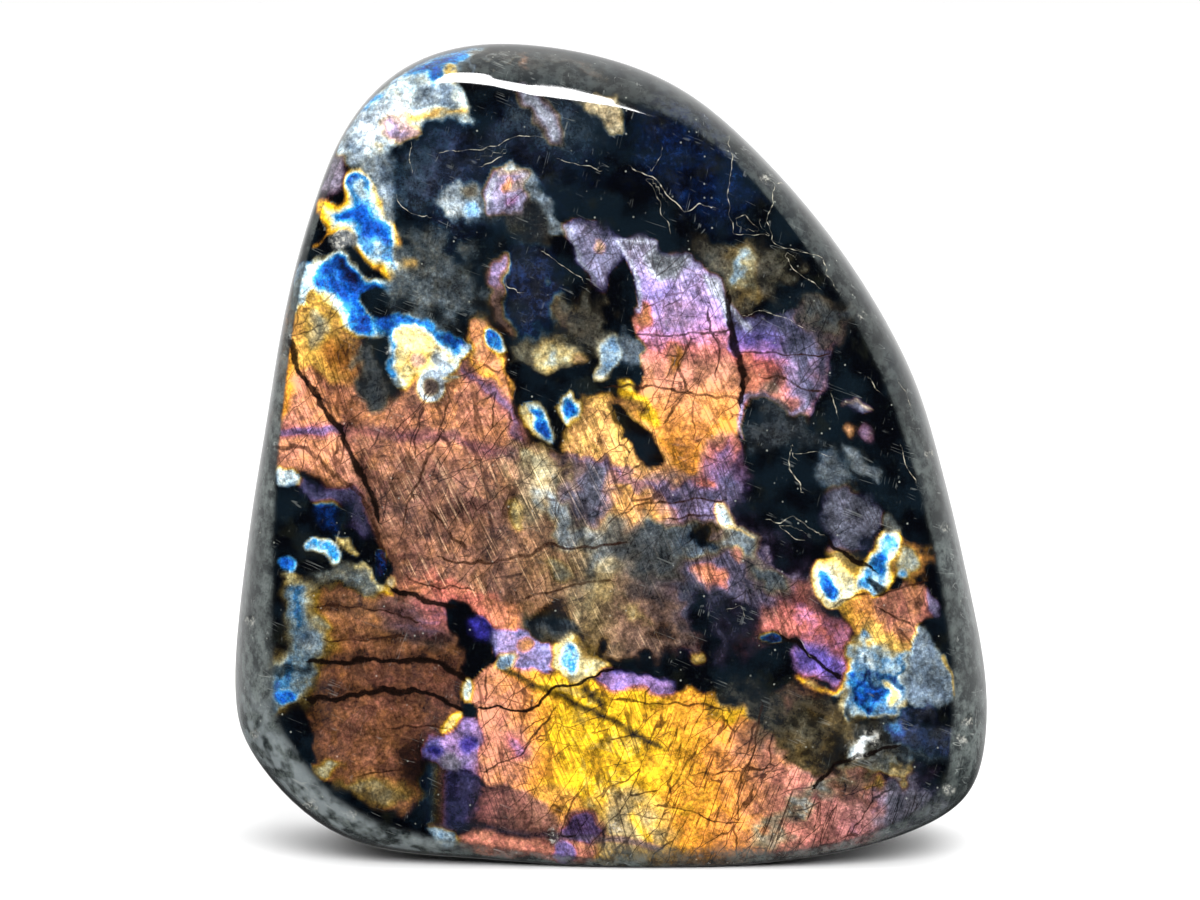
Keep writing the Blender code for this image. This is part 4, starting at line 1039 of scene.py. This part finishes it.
fine_cracks = [
    (0.40, [(-55.4, 70.3), (-51, 69.9), (-48.4, 68), (-45.4, 65.3), (-42, 61.6), (-40, 59.2),
            (-38.8, 56.6), (-38, 51.6)]),
    (0.26, [(-28, 51.5), (-20, 51), (-14, 52), (-10, 54), (-4, 53.2), (2, 54.3)]),
    (0.22, [(-14, 45), (-9, 46.2), (-4, 47.6), (0, 47.4)]),
    (0.22, [(-36.6, 23.9), (-32, 23.4), (-28.5, 23.4)]),
    (0.22, [(-47, 38), (-42, 37.8), (-37.6, 38.7), (-35, 38.5)]),
    (0.18, [(-49, 43.6), (-42, 43.1), (-36, 42.7), (-32, 41.2)]),
    (0.18, [(-42, 15.4), (-38, 16), (-34.6, 16.8)]),
    (0.20, [(4.5, 89.2), (10, 88.7), (15, 89.4), (19.5, 89.2)]),
    (0.18, [(21.8, 86), (26, 85.8), (31, 84.9), (36, 85.5)]),
    (0.20, [(26, 81.4), (30, 80.7), (34.5, 79.3)]),
    (0.20, [(0, 80.6), (6, 80.4), (12, 79.4), (20.8, 78.2)]),
    (0.18, [(-20.6, 16.2), (-17.4, 18), (-15, 18.8), (-12, 22.6), (-9.4, 26)]),
    (0.20, [(1, 27.8), (8, 26.9), (14, 27.6), (18.4, 26.4)]),
    (0.18, [(8, 10.3), (12, 9.5), (17, 8.2), (21, 7.5)]),
    (0.18, [(14, 15.3), (20, 15.7), (26, 16.6)]),
    (0.20, [(-34, 48.4), (-30, 47.1), (-26, 46.7), (-23, 46.5)]),
    (0.20, [(0, 57.4), (4, 60.2), (8, 61), (14, 61.4), (18, 61)]),
    (0.18, [(10, 58.5), (17.4, 59)]),
    (0.20, [(37, 43.4), (41, 45), (46, 46), (52, 47.4)]),
    (0.18, [(45, 43), (49.6, 40.4)]),
    (0.20, [(9, 10.2), (11, 15), (13.6, 19.6)]),
    (0.20, [(-28, 72), (-31, 67.6), (-33, 62.4), (-34.6, 58)]),
    (0.18, [(-27, 77.4), (-29, 71), (-31.6, 66)]),
    (0.24, [(-32, 62), (-29.4, 59), (-26.6, 55.6), (-24, 53)]),
    (0.20, [(13, 88), (11.4, 84), (12.6, 79.6), (9.6, 74.4)]),
    (0.18, [(16, 94), (16.6, 90), (18.6, 86.4), (17.6, 82)]),
    (0.20, [(25, 27), (24.4, 21), (22, 15), (21, 8)]),
]
pale_cracks = [
    (0.22, [(4, 116.3), (7, 115.3), (9, 112), (10.5, 110.9), (12.3, 109.2), (13.6, 109.4),
            (15, 110.6), (17, 110.2)]),
    (0.13, [(5.5, 115), (7.5, 112), (8.3, 109), (9.8, 106.5)]),
    (0.12, [(20, 121.5), (19.8, 116), (19.5, 112), (20.3, 108), (20.2, 106.3), (25.4, 105.3)]),
    (0.14, [(30.4, 113.6), (27, 114.2), (26.6, 111), (26.2, 107), (26.8, 104.5), (28.5, 103.2),
            (32, 102.6), (35, 101.2), (36.3, 98.5), (37.6, 97)]),
    (0.12, [(29, 101.5), (31, 98.8), (34.5, 96.8)]),
    (0.13, [(-28, 119.2), (-22, 119.9), (-18, 120.6), (-15, 121.7), (-10, 121.8)]),
    (0.14, [(-35, 111), (-33.5, 109), (-31.3, 108.5)]),
    (0.14, [(-11, 102.3), (-8, 100), (-5.2, 98)]),
    (0.13, [(-17, 99), (-17.3, 96.8), (-15.5, 96.1)]),
    (0.20, [(30.1, 69), (29.9, 66), (31.6, 63.4)]),
    (0.12, [(31, 69), (35.4, 68.6)]),
    (0.24, [(27, 58.2), (28.4, 57.8), (30.4, 58.8), (32, 57.2), (34.2, 56)]),
    (0.14, [(29, 56.4), (31.4, 55)]),
    (0.16, [(37, 78), (37.6, 75.6)]),
    (0.14, [(48.4, 70), (49.3, 66.5), (50.9, 64)]),
    (0.14, [(21, 108.4), (22.4, 108.7), (24, 107.4)]),
    (0.20, [(-21, 117.4), (-19.4, 117.6), (-18, 118.6)]),
    (0.12, [(23, 92.4), (26, 92.8), (30, 91.6), (33, 90)]),
    (0.12, [(-8, 118), (-4.4, 117), (-2.4, 116.2)]),
    (0.16, [(43.8, 80.8), (44.6, 79.6)]),
    (0.16, [(48.4, 80.4), (49.6, 77.4)]),
    (0.12, [(31, 38), (32.6, 36)]),
    (0.12, [(20.4, 43), (21.4, 43.6), (22.2, 42.4)]),
    (0.14, [(-33.2, 119.6), (-32.8, 116.8)]),
    (0.12, [(8, 119), (7.4, 117)]),
]
NEAR_A_CRACK = 1.5
CRACK_SWING = 0.42


def course_of(cracks):
    """The distance from the nearest of these cracks in half widths, with its side, and how
    near it is, from 1 on a crack to 0 away from all of them."""
    nearest = np.full(count, 1e9)
    course = np.full(count, 9.0)
    for half_width, line in cracks:
        distance, side = band_distance(line, CRACK_SWING)
        closer = distance < nearest
        nearest = np.where(closer, distance, nearest)
        course = np.where(closer, side * distance / half_width, course)
    near = np.clip(1.0 - nearest / NEAR_A_CRACK, 0.0, 1.0) * front
    return np.clip(course, -12.0, 12.0), near


wide_course, wide_near = course_of(wide_cracks)
fine_course, fine_near = course_of(fine_cracks)
pale_course, pale_near = course_of([(0.36 * wide, line) for wide, line in pale_cracks])
print("cracks drawn:", len(wide_cracks) + len(fine_cracks) + len(pale_cracks))

# %% [markdown]
# Some damage reaches the surface: grooves along the widest cracks, chips along the edge and
# small pits. They are pressed into the mesh itself, so that they catch the light.

# %% Grooves, chips and pits
GROOVE_DEPTH = 0.08
groove = np.exp(-np.abs(wide_course) ** 2 / 2.0) * wide_near
pit_field = cloud(3.0, 11)
pits = ease((pit_field - 0.95) / 0.25) * ease((118.0 - up) / 6.0) * 0.03

chips = [
    (-44.6, 104.4, 1.8, 0.22), (25.9, 114.8, 1.0, 0.25), (40.8, 19.8, 1.6, 0.28),
    (43.4, 21.8, 1.3, 0.18), (-43.6, 8.7, 1.0, 0.2), (-50, 10.6, 1.0, 0.2), (-9.4, 5.2, 1.1, 0.2),
    (55.8, 56.4, 0.7, 0.2), (59.4, 24.6, 0.8, 0.2), (58.4, 21.4, 0.8, 0.2),
    (-59.6, 22.4, 0.8, 0.2), (53, 69, 0.7, 0.2), (42, 92, 0.6, 0.18), (-36.8, 86.2, 0.7, 0.2),
    (56.2, 13.2, 0.9, 0.15), (-60.2, 41, 0.8, 0.15), (0.8, 6.4, 1.2, 0.12),
]
chipped = np.zeros(count)
press = GROOVE_DEPTH * groove + pits * front
for x, z, radius, deep in chips:
    distance = np.hypot(across - x + 0.4 * fine_swing[0], up - z + 0.4 * fine_swing[1])
    bite = ease(1.3 - distance / radius) * front
    press = press + deep * bite
    chipped = np.maximum(chipped, bite)
points = points - normals * (press * MM)[:, None]
stone.data.vertices.foreach_set("co", points.ravel())
stone.data.update()
print("deepest mark:", round(float(press.max()), 2), "mm")

# %% The drawing goes into the mesh
drawn = {
    "hue": hue, "glow": glow, "milk": milk, "cracked": cracked, "streaked": streaked,
    "grey_edge_and_under_shade": grey_edge_and_under_shade, "wide_course": wide_course, "wide_near": wide_near,
    "fine_course": fine_course, "fine_near": fine_near, "pale_course": pale_course,
    "pale_near": pale_near, "chipped": chipped,
}
for name, values in drawn.items():
    layer = stone.data.attributes.new(name, "FLOAT", "POINT")
    layer.data.foreach_set("value", values.astype(np.float32))
print("kept in the mesh:", ", ".join(drawn))

# %% [markdown]
# The material reads what was drawn and adds what is finer than the net: small shifts of
# colour, the crack network, the cleavage lines and specks. A few short helpers keep its
# node tree readable.

# %% Helpers for nodes
labradorite = bpy.data.materials.new("polished labradorite")
labradorite.use_nodes = True
tree = labradorite.node_tree
shader = tree.nodes["Principled BSDF"]


def put(socket, value):
    """Links a socket to another, or sets it to a plain value."""
    if isinstance(value, bpy.types.NodeSocket):
        tree.links.new(value, socket)
    else:
        socket.default_value = value


def reckon(operation, first, second=0.0, third=0.0):
    node = tree.nodes.new("ShaderNodeMath")
    node.operation = operation
    for socket, value in zip(node.inputs, (first, second, third)):
        put(socket, value)
    return node.outputs[0]


def drawn_value(name):
    node = tree.nodes.new("ShaderNodeAttribute")
    node.attribute_name = name
    return node.outputs["Fac"]


def turned(scale, angle=0.0, start=None):
    """A place on the stone in mm, turned by angle about Y and then scaled along X, Y, Z."""
    turn = tree.nodes.new("ShaderNodeMapping")
    put(turn.inputs["Vector"], start or place)
    turn.inputs["Rotation"].default_value = (0.0, math.radians(angle), 0.0)
    stretch = tree.nodes.new("ShaderNodeMapping")
    put(stretch.inputs["Vector"], turn.outputs["Vector"])
    stretch.inputs["Scale"].default_value = scale
    return stretch.outputs["Vector"]


def fog(size, detail=2.0, where=None, roughness=0.5):
    """Noise from 0 to 1 with lumps of this size in mm."""
    node = tree.nodes.new("ShaderNodeTexNoise")
    put(node.inputs["Vector"], where or place)
    node.inputs["Scale"].default_value = 1.0 / size
    node.inputs["Detail"].default_value = detail
    node.inputs["Roughness"].default_value = roughness
    return node.outputs["Fac"]


def step(value, low, high):
    """0 below low and 1 above high, with a soft step between."""
    node = tree.nodes.new("ShaderNodeMapRange")
    node.interpolation_type = "SMOOTHSTEP"
    put(node.inputs["Value"], value)
    node.inputs["From Min"].default_value = low
    node.inputs["From Max"].default_value = high
    return node.outputs["Result"]


def blend(share, first, second):
    node = tree.nodes.new("ShaderNodeMix")
    node.data_type = "RGBA"
    put(node.inputs["Factor"], share)
    put(node.inputs["A"], first)
    put(node.inputs["B"], second)
    return node.outputs["Result"]


def tint(red, green, blue):
    """A colour from its values on a screen, 0 to 255."""
    def linear(v):
        v = v / 255.0
        return v / 12.92 if v <= 0.04045 else ((v + 0.055) / 1.055) ** 2.4
    return (linear(red), linear(green), linear(blue), 1.0)


coordinates = tree.nodes.new("ShaderNodeTexCoord")
in_mm = tree.nodes.new("ShaderNodeVectorMath")
in_mm.operation = "SCALE"
put(in_mm.inputs["Vector"], coordinates.outputs["Object"])
in_mm.inputs["Scale"].default_value = 1.0 / MM
place = in_mm.outputs["Vector"]

# %% [markdown]
# The scale of colours is a ramp in the order in which a growing layer spacing shows them.
# Each small piece of the stone between its cracks glows a little differently, which a cell
# pattern gives.

# %% The colours of the flash
SCALE_OF_COLOURS = [
    (0.00, (6, 14, 40)), (NAVY, (10, 32, 84)), (ROYAL, (18, 84, 184)), (AZURE, (58, 160, 224)),
    (ICE, (205, 236, 244)), (CREAM, (246, 232, 168)), (GOLD, (252, 198, 34)),
    (AMBER, (242, 158, 58)), (COPPER, (208, 134, 100)), (ROSE, (228, 122, 112)),
    (LILAC, (204, 146, 222)), (VIOLET, (122, 98, 206)), (INDIGO, (52, 48, 150)),
]

warp = tree.nodes.new("ShaderNodeTexNoise")
put(warp.inputs["Vector"], place)
warp.inputs["Scale"].default_value = 0.16
warp.inputs["Detail"].default_value = 4.0
warp_by = tree.nodes.new("ShaderNodeVectorMath")
warp_by.operation = "MULTIPLY_ADD"
put(warp_by.inputs[0], warp.outputs["Color"])
warp_by.inputs[1].default_value = (2.8, 2.8, 2.8)
put(warp_by.inputs[2], place)
bent_place = warp_by.outputs["Vector"]


def cells(size, feature, where):
    node = tree.nodes.new("ShaderNodeTexVoronoi")
    node.feature = feature
    put(node.inputs["Vector"], where)
    node.inputs["Scale"].default_value = 1.0 / size
    return node


pieces = cells(4.2, "F1", bent_place)
piece_tone = tree.nodes.new("ShaderNodeSeparateColor")
put(piece_tone.inputs["Color"], pieces.outputs["Color"])

hue_value = drawn_value("hue")
glow_value = drawn_value("glow")
blue_side = reckon("SUBTRACT", 1.0, step(hue_value, 0.25, 0.50))
reach = reckon("MULTIPLY_ADD", blue_side, 0.25, 0.13)
uneven = reckon("SUBTRACT", fog(1.9, 5.0, None, 0.7), 0.5)
fine_shift = reckon("MULTIPLY", uneven, reach)
piece_shift = reckon("MULTIPLY_ADD", piece_tone.outputs["Red"], 0.03, -0.015)
shifted = reckon("ADD", reckon("ADD", hue_value, fine_shift), piece_shift)
ramp = tree.nodes.new("ShaderNodeValToRGB")
put(ramp.inputs["Fac"], shifted)
for number, (position, colour) in enumerate(SCALE_OF_COLOURS):
    if number < 2:
        stop = ramp.color_ramp.elements[number]
        stop.position = position
    else:
        stop = ramp.color_ramp.elements.new(position)
    stop.color = tint(*colour)
milky = blend(drawn_value("milk"), ramp.outputs["Color"], tint(208, 216, 224))

# %% [markdown]
# The cleavage shows as fine parallel lines that lean to the left. Longer cracks sweep across
# the bright fields from the lower left to the upper right, and shorter ones join them. A
# hairline is where stretched noise passes through its middle value: it is long and fine,
# and it forks now and then, as a crack does.

# %% Cleavage lines and the crack net
LEAN = 24.0
RIGHT_LEAN = -20.0
SWEEP = -34.0


def hairlines(across_mm, along_mm, angle, fineness):
    """Fine lines at about this spacing and length in mm, turned by angle: 1 on a line."""
    stretched = turned((1.0 / across_mm, 1.0 / 6.0, 1.0 / along_mm), angle)
    off_middle = reckon("ABSOLUTE", reckon("SUBTRACT", fog(1.0, 1.5, stretched), 0.5))
    return reckon("SUBTRACT", 1.0, step(off_middle, fineness * 0.25, fineness))


def long_cells(across_mm, along_mm, angle, fineness):
    """Cracks round long cells of this size in mm, turned by angle: 1 on a crack."""
    stretched = turned((1.0 / across_mm, 1.0 / 6.0, 1.0 / along_mm), angle, bent_place)
    edge = cells(1.0, "DISTANCE_TO_EDGE", stretched).outputs["Distance"]
    return reckon("SUBTRACT", 1.0, step(edge, fineness * 0.3, fineness))


def here(size, low, high):
    """A mask that comes and goes across the stone."""
    return step(fog(size, 2.0), low, high)


xyz = tree.nodes.new("ShaderNodeSeparateXYZ")
put(xyz.inputs["Vector"], place)
right_side = step(xyz.outputs["X"], 2.0, 12.0)
low_down = reckon("SUBTRACT", 1.0, step(xyz.outputs["Z"], 26.0, 36.0))
at_right_foot = reckon("MULTIPLY", right_side, low_down)
elsewhere = reckon("SUBTRACT", 1.0, at_right_foot)

cleavage_lines = reckon("MULTIPLY", hairlines(0.9, 18.0, LEAN, 0.05), here(6.0, 0.34, 0.56))
steep_lines = reckon("MULTIPLY", hairlines(1.9, 24.0, LEAN - 8.0, 0.035), here(8.0, 0.40, 0.56))
leaning_right = reckon("MULTIPLY", hairlines(1.0, 20.0, RIGHT_LEAN, 0.024), here(6.0, 0.38, 0.52))
light_lines = reckon("MULTIPLY", here(4.0, 0.38, 0.62),
                     step(fog(1.0, 1.5, turned((2.9, 0.3, 0.09), LEAN + 3.0)), 0.56, 0.68))
sweeping = reckon("MULTIPLY", long_cells(3.6, 15.0, SWEEP, 0.024), here(9.0, 0.34, 0.48))
level_cracks = reckon("MULTIPLY", long_cells(4.6, 12.0, -78.0, 0.022), here(7.0, 0.44, 0.56))
small_net = cells(1.7, "DISTANCE_TO_EDGE", bent_place)
small_line = reckon("SUBTRACT", 1.0, step(small_net.outputs["Distance"], 0.01, 0.05))
small_cracks = reckon("MULTIPLY", small_line, here(4.0, 0.47, 0.58))

cracked_value = drawn_value("cracked")
left_lines = reckon("MAXIMUM", reckon("MULTIPLY", cleavage_lines, 0.68),
                    reckon("MULTIPLY", steep_lines, 0.88))
fine_dark = reckon("MAXIMUM", reckon("MULTIPLY", left_lines, elsewhere),
                   reckon("MULTIPLY", leaning_right, at_right_foot))
fine_dark = reckon("MAXIMUM", fine_dark, reckon("MULTIPLY", small_cracks, 0.60))
long_dark = reckon("MAXIMUM", sweeping, reckon("MULTIPLY", level_cracks, 0.9))
broken = reckon("MULTIPLY", reckon("MAXIMUM", fine_dark, long_dark), cracked_value)

grain = fog(0.55, 3.0, None, 0.75)
mottle = reckon("MULTIPLY_ADD", fog(3.0, 6.0, None, 0.74), 2.7, -0.35)
grainy = reckon("MULTIPLY_ADD", grain, 1.5, 0.22)
piece_bright = reckon("MULTIPLY_ADD", piece_tone.outputs["Green"], 0.22, 0.89)
broad = reckon("MULTIPLY_ADD", fog(9.0, 3.0), 0.9, 0.56)
strength = reckon("MULTIPLY", reckon("MULTIPLY", glow_value, mottle), piece_bright)
strength = reckon("MULTIPLY", strength, broad)
strength = reckon("MULTIPLY", strength, grainy)
streak_share = reckon("MULTIPLY", light_lines, drawn_value("streaked"))
strength = reckon("MULTIPLY_ADD", reckon("MULTIPLY", streak_share, glow_value), 0.54, strength)
strength = reckon("POWER", reckon("MINIMUM", strength, 1.14), 2.2)

# %% [markdown]
# Where there is no flash, the stone is nearly black on the front, with a blue cast, fine pale
# specks and a few healed cracks. Towards the edges it turns grey, and near the foot at the
# left a painted reflection lightens that grey in patches.

# %% The body of the stone
cast = fog(7.0, 4.0)
dark_body = blend(step(cast, 0.42, 0.62), tint(2, 3, 6), tint(8, 17, 24))
olive_here = step(fog(6.0, 5.0, turned((1.0, 1.0, 1.0), 70.0), 0.65), 0.54, 0.68)
dark_body = blend(reckon("MULTIPLY", olive_here, 0.4), dark_body, tint(24, 26, 18))
specked = reckon("MULTIPLY", step(grain, 0.56, 0.72), step(fog(5.0, 2.0), 0.46, 0.66))
dark_body = blend(reckon("MULTIPLY", specked, 0.4), dark_body, tint(46, 58, 58))
grey_edge_and_foot_reflection = blend(step(fog(2.6, 5.0, None, 0.7), 0.38, 0.62), tint(32, 38, 39), tint(92, 99, 97))
grey_edge_and_foot_reflection = blend(reckon("MULTIPLY", step(grain, 0.5, 0.7), 0.6), grey_edge_and_foot_reflection, tint(24, 28, 28))
# Near the foot at the left, the grey edge is lightened in patches: a painted reflection of the white
# surroundings.
near_foot = reckon("SUBTRACT", 1.0, step(xyz.outputs["Z"], 18.0, 36.0))
far_left = reckon("SUBTRACT", 1.0, step(xyz.outputs["X"], -38.0, -20.0))
painted_foot_reflection = reckon("MULTIPLY", reckon("MULTIPLY", near_foot, far_left), here(3.0, 0.36, 0.60))
deep_grey = reckon("MULTIPLY", here(9.0, 0.44, 0.62), 0.5)
grey_edge_and_foot_reflection = blend(deep_grey, grey_edge_and_foot_reflection, tint(34, 38, 38))
grey_edge_and_foot_reflection = blend(reckon("MULTIPLY", painted_foot_reflection, 0.62), grey_edge_and_foot_reflection, tint(142, 150, 152))
# The grey edge share is zero on faces that look down, which paints shade on them.
body = blend(drawn_value("grey_edge_and_under_shade"), dark_body, grey_edge_and_foot_reflection)
speck_cells = cells(1.3, "F1", place)
speck_on = tree.nodes.new("ShaderNodeSeparateColor")
put(speck_on.inputs["Color"], speck_cells.outputs["Color"])
specks = reckon("MULTIPLY",
                reckon("SUBTRACT", 1.0, step(speck_cells.outputs["Distance"], 0.06, 0.17)),
                step(speck_on.outputs["Red"], 0.84, 0.90))
scratches = reckon("MULTIPLY", hairlines(1.6, 34.0, 68.0, 0.010), here(3.4, 0.56, 0.64))
steep_scratches = reckon("MULTIPLY", hairlines(1.3, 22.0, -14.0, 0.010), here(2.2, 0.60, 0.66))
scratches = reckon("MAXIMUM", scratches, steep_scratches)
body = blend(reckon("MULTIPLY", specks, 0.55), body, tint(160, 164, 154))
scratched = reckon("MULTIPLY_ADD", drawn_value("grey_edge_and_under_shade"), 0.35, 0.2)
body = blend(reckon("MULTIPLY", scratches, scratched), body, tint(150, 154, 150))

flash_shaded = blend(reckon("MULTIPLY", streak_share, 0.55), milky, tint(250, 218, 172))
flash_shaded = blend(reckon("MULTIPLY", broken, 0.84), flash_shaded, tint(58, 26, 12))
glowing = tree.nodes.new("ShaderNodeMix")
glowing.data_type = "RGBA"
glowing.blend_type = "MULTIPLY"
glowing.inputs["Factor"].default_value = 1.0
put(glowing.inputs["A"], flash_shaded)
strength_colour = tree.nodes.new("ShaderNodeCombineColor")
for channel in ("Red", "Green", "Blue"):
    put(strength_colour.inputs[channel], strength)
put(glowing.inputs["B"], strength_colour.outputs["Color"])
dimmed_body = blend(reckon("MINIMUM", strength, 1.0), body, tint(0, 0, 0))
whole = tree.nodes.new("ShaderNodeMix")
whole.data_type = "RGBA"
whole.blend_type = "ADD"
whole.inputs["Factor"].default_value = 1.0
put(whole.inputs["A"], dimmed_body)
put(whole.inputs["B"], glowing.outputs["Result"])
colour = whole.outputs["Result"]

# %% The large cracks and the chips
wobble = reckon("MULTIPLY_ADD", fog(0.9, 2.0), 1.6, -0.8)


def line_of(course, near):
    """1 on a large crack and 0 beside it."""
    wavy = reckon("ABSOLUTE", reckon("ADD", drawn_value(course), wobble))
    on_line = reckon("SUBTRACT", 1.0, step(wavy, 0.55, 1.35))
    return reckon("MULTIPLY", on_line, step(drawn_value(near), 0.05, 0.4))


thin_here = reckon("MINIMUM", reckon("MULTIPLY_ADD", fog(2.0, 2.0), 1.2, 0.3), 1.0)
comes_and_goes = reckon("MULTIPLY_ADD", step(fog(1.1, 3.0), 0.44, 0.60), 0.9, 0.10)
wide_line = line_of("wide_course", "wide_near")
fine_line = reckon("MULTIPLY", line_of("fine_course", "fine_near"), thin_here)
pale_line = reckon("MULTIPLY", line_of("pale_course", "pale_near"), comes_and_goes)
colour = blend(reckon("MULTIPLY", fine_line, 0.85), colour, tint(36, 18, 10))
colour = blend(reckon("MULTIPLY", wide_line, 0.96), colour, tint(10, 5, 4))
colour = blend(reckon("MULTIPLY", pale_line, 0.75), colour, tint(196, 190, 170))
chip_value = drawn_value("chipped")
chip_white = reckon("MULTIPLY", step(fog(0.8, 5.0, None, 0.8), 0.49, 0.58), chip_value)
colour = blend(reckon("MULTIPLY", chip_white, 0.6), colour, tint(214, 212, 200))
put(shader.inputs["Base Color"], colour)

# %% [markdown]
# The polish is smooth but not perfect: its gloss varies a little from place to place, the
# crack net dents it slightly, and the chips are dull.

# %% The polish
dullness = reckon("MULTIPLY_ADD", fog(5.0, 3.0), 0.05, 0.03)
dullness = reckon("MULTIPLY_ADD", chip_value, 0.4, dullness)
put(shader.inputs["Roughness"], dullness)
shader.inputs["IOR"].default_value = 1.56
fine_relief = tree.nodes.new("ShaderNodeBump")
fine_relief.inputs["Strength"].default_value = 0.06
fine_relief.inputs["Distance"].default_value = 0.02 * MM
relief = reckon("SUBTRACT", fog(1.6, 4.0), reckon("MULTIPLY", broken, 0.8))
put(fine_relief.inputs["Height"], relief)
put(shader.inputs["Normal"], fine_relief.outputs["Normal"])
stone.data.materials.clear()
stone.data.materials.append(labradorite)
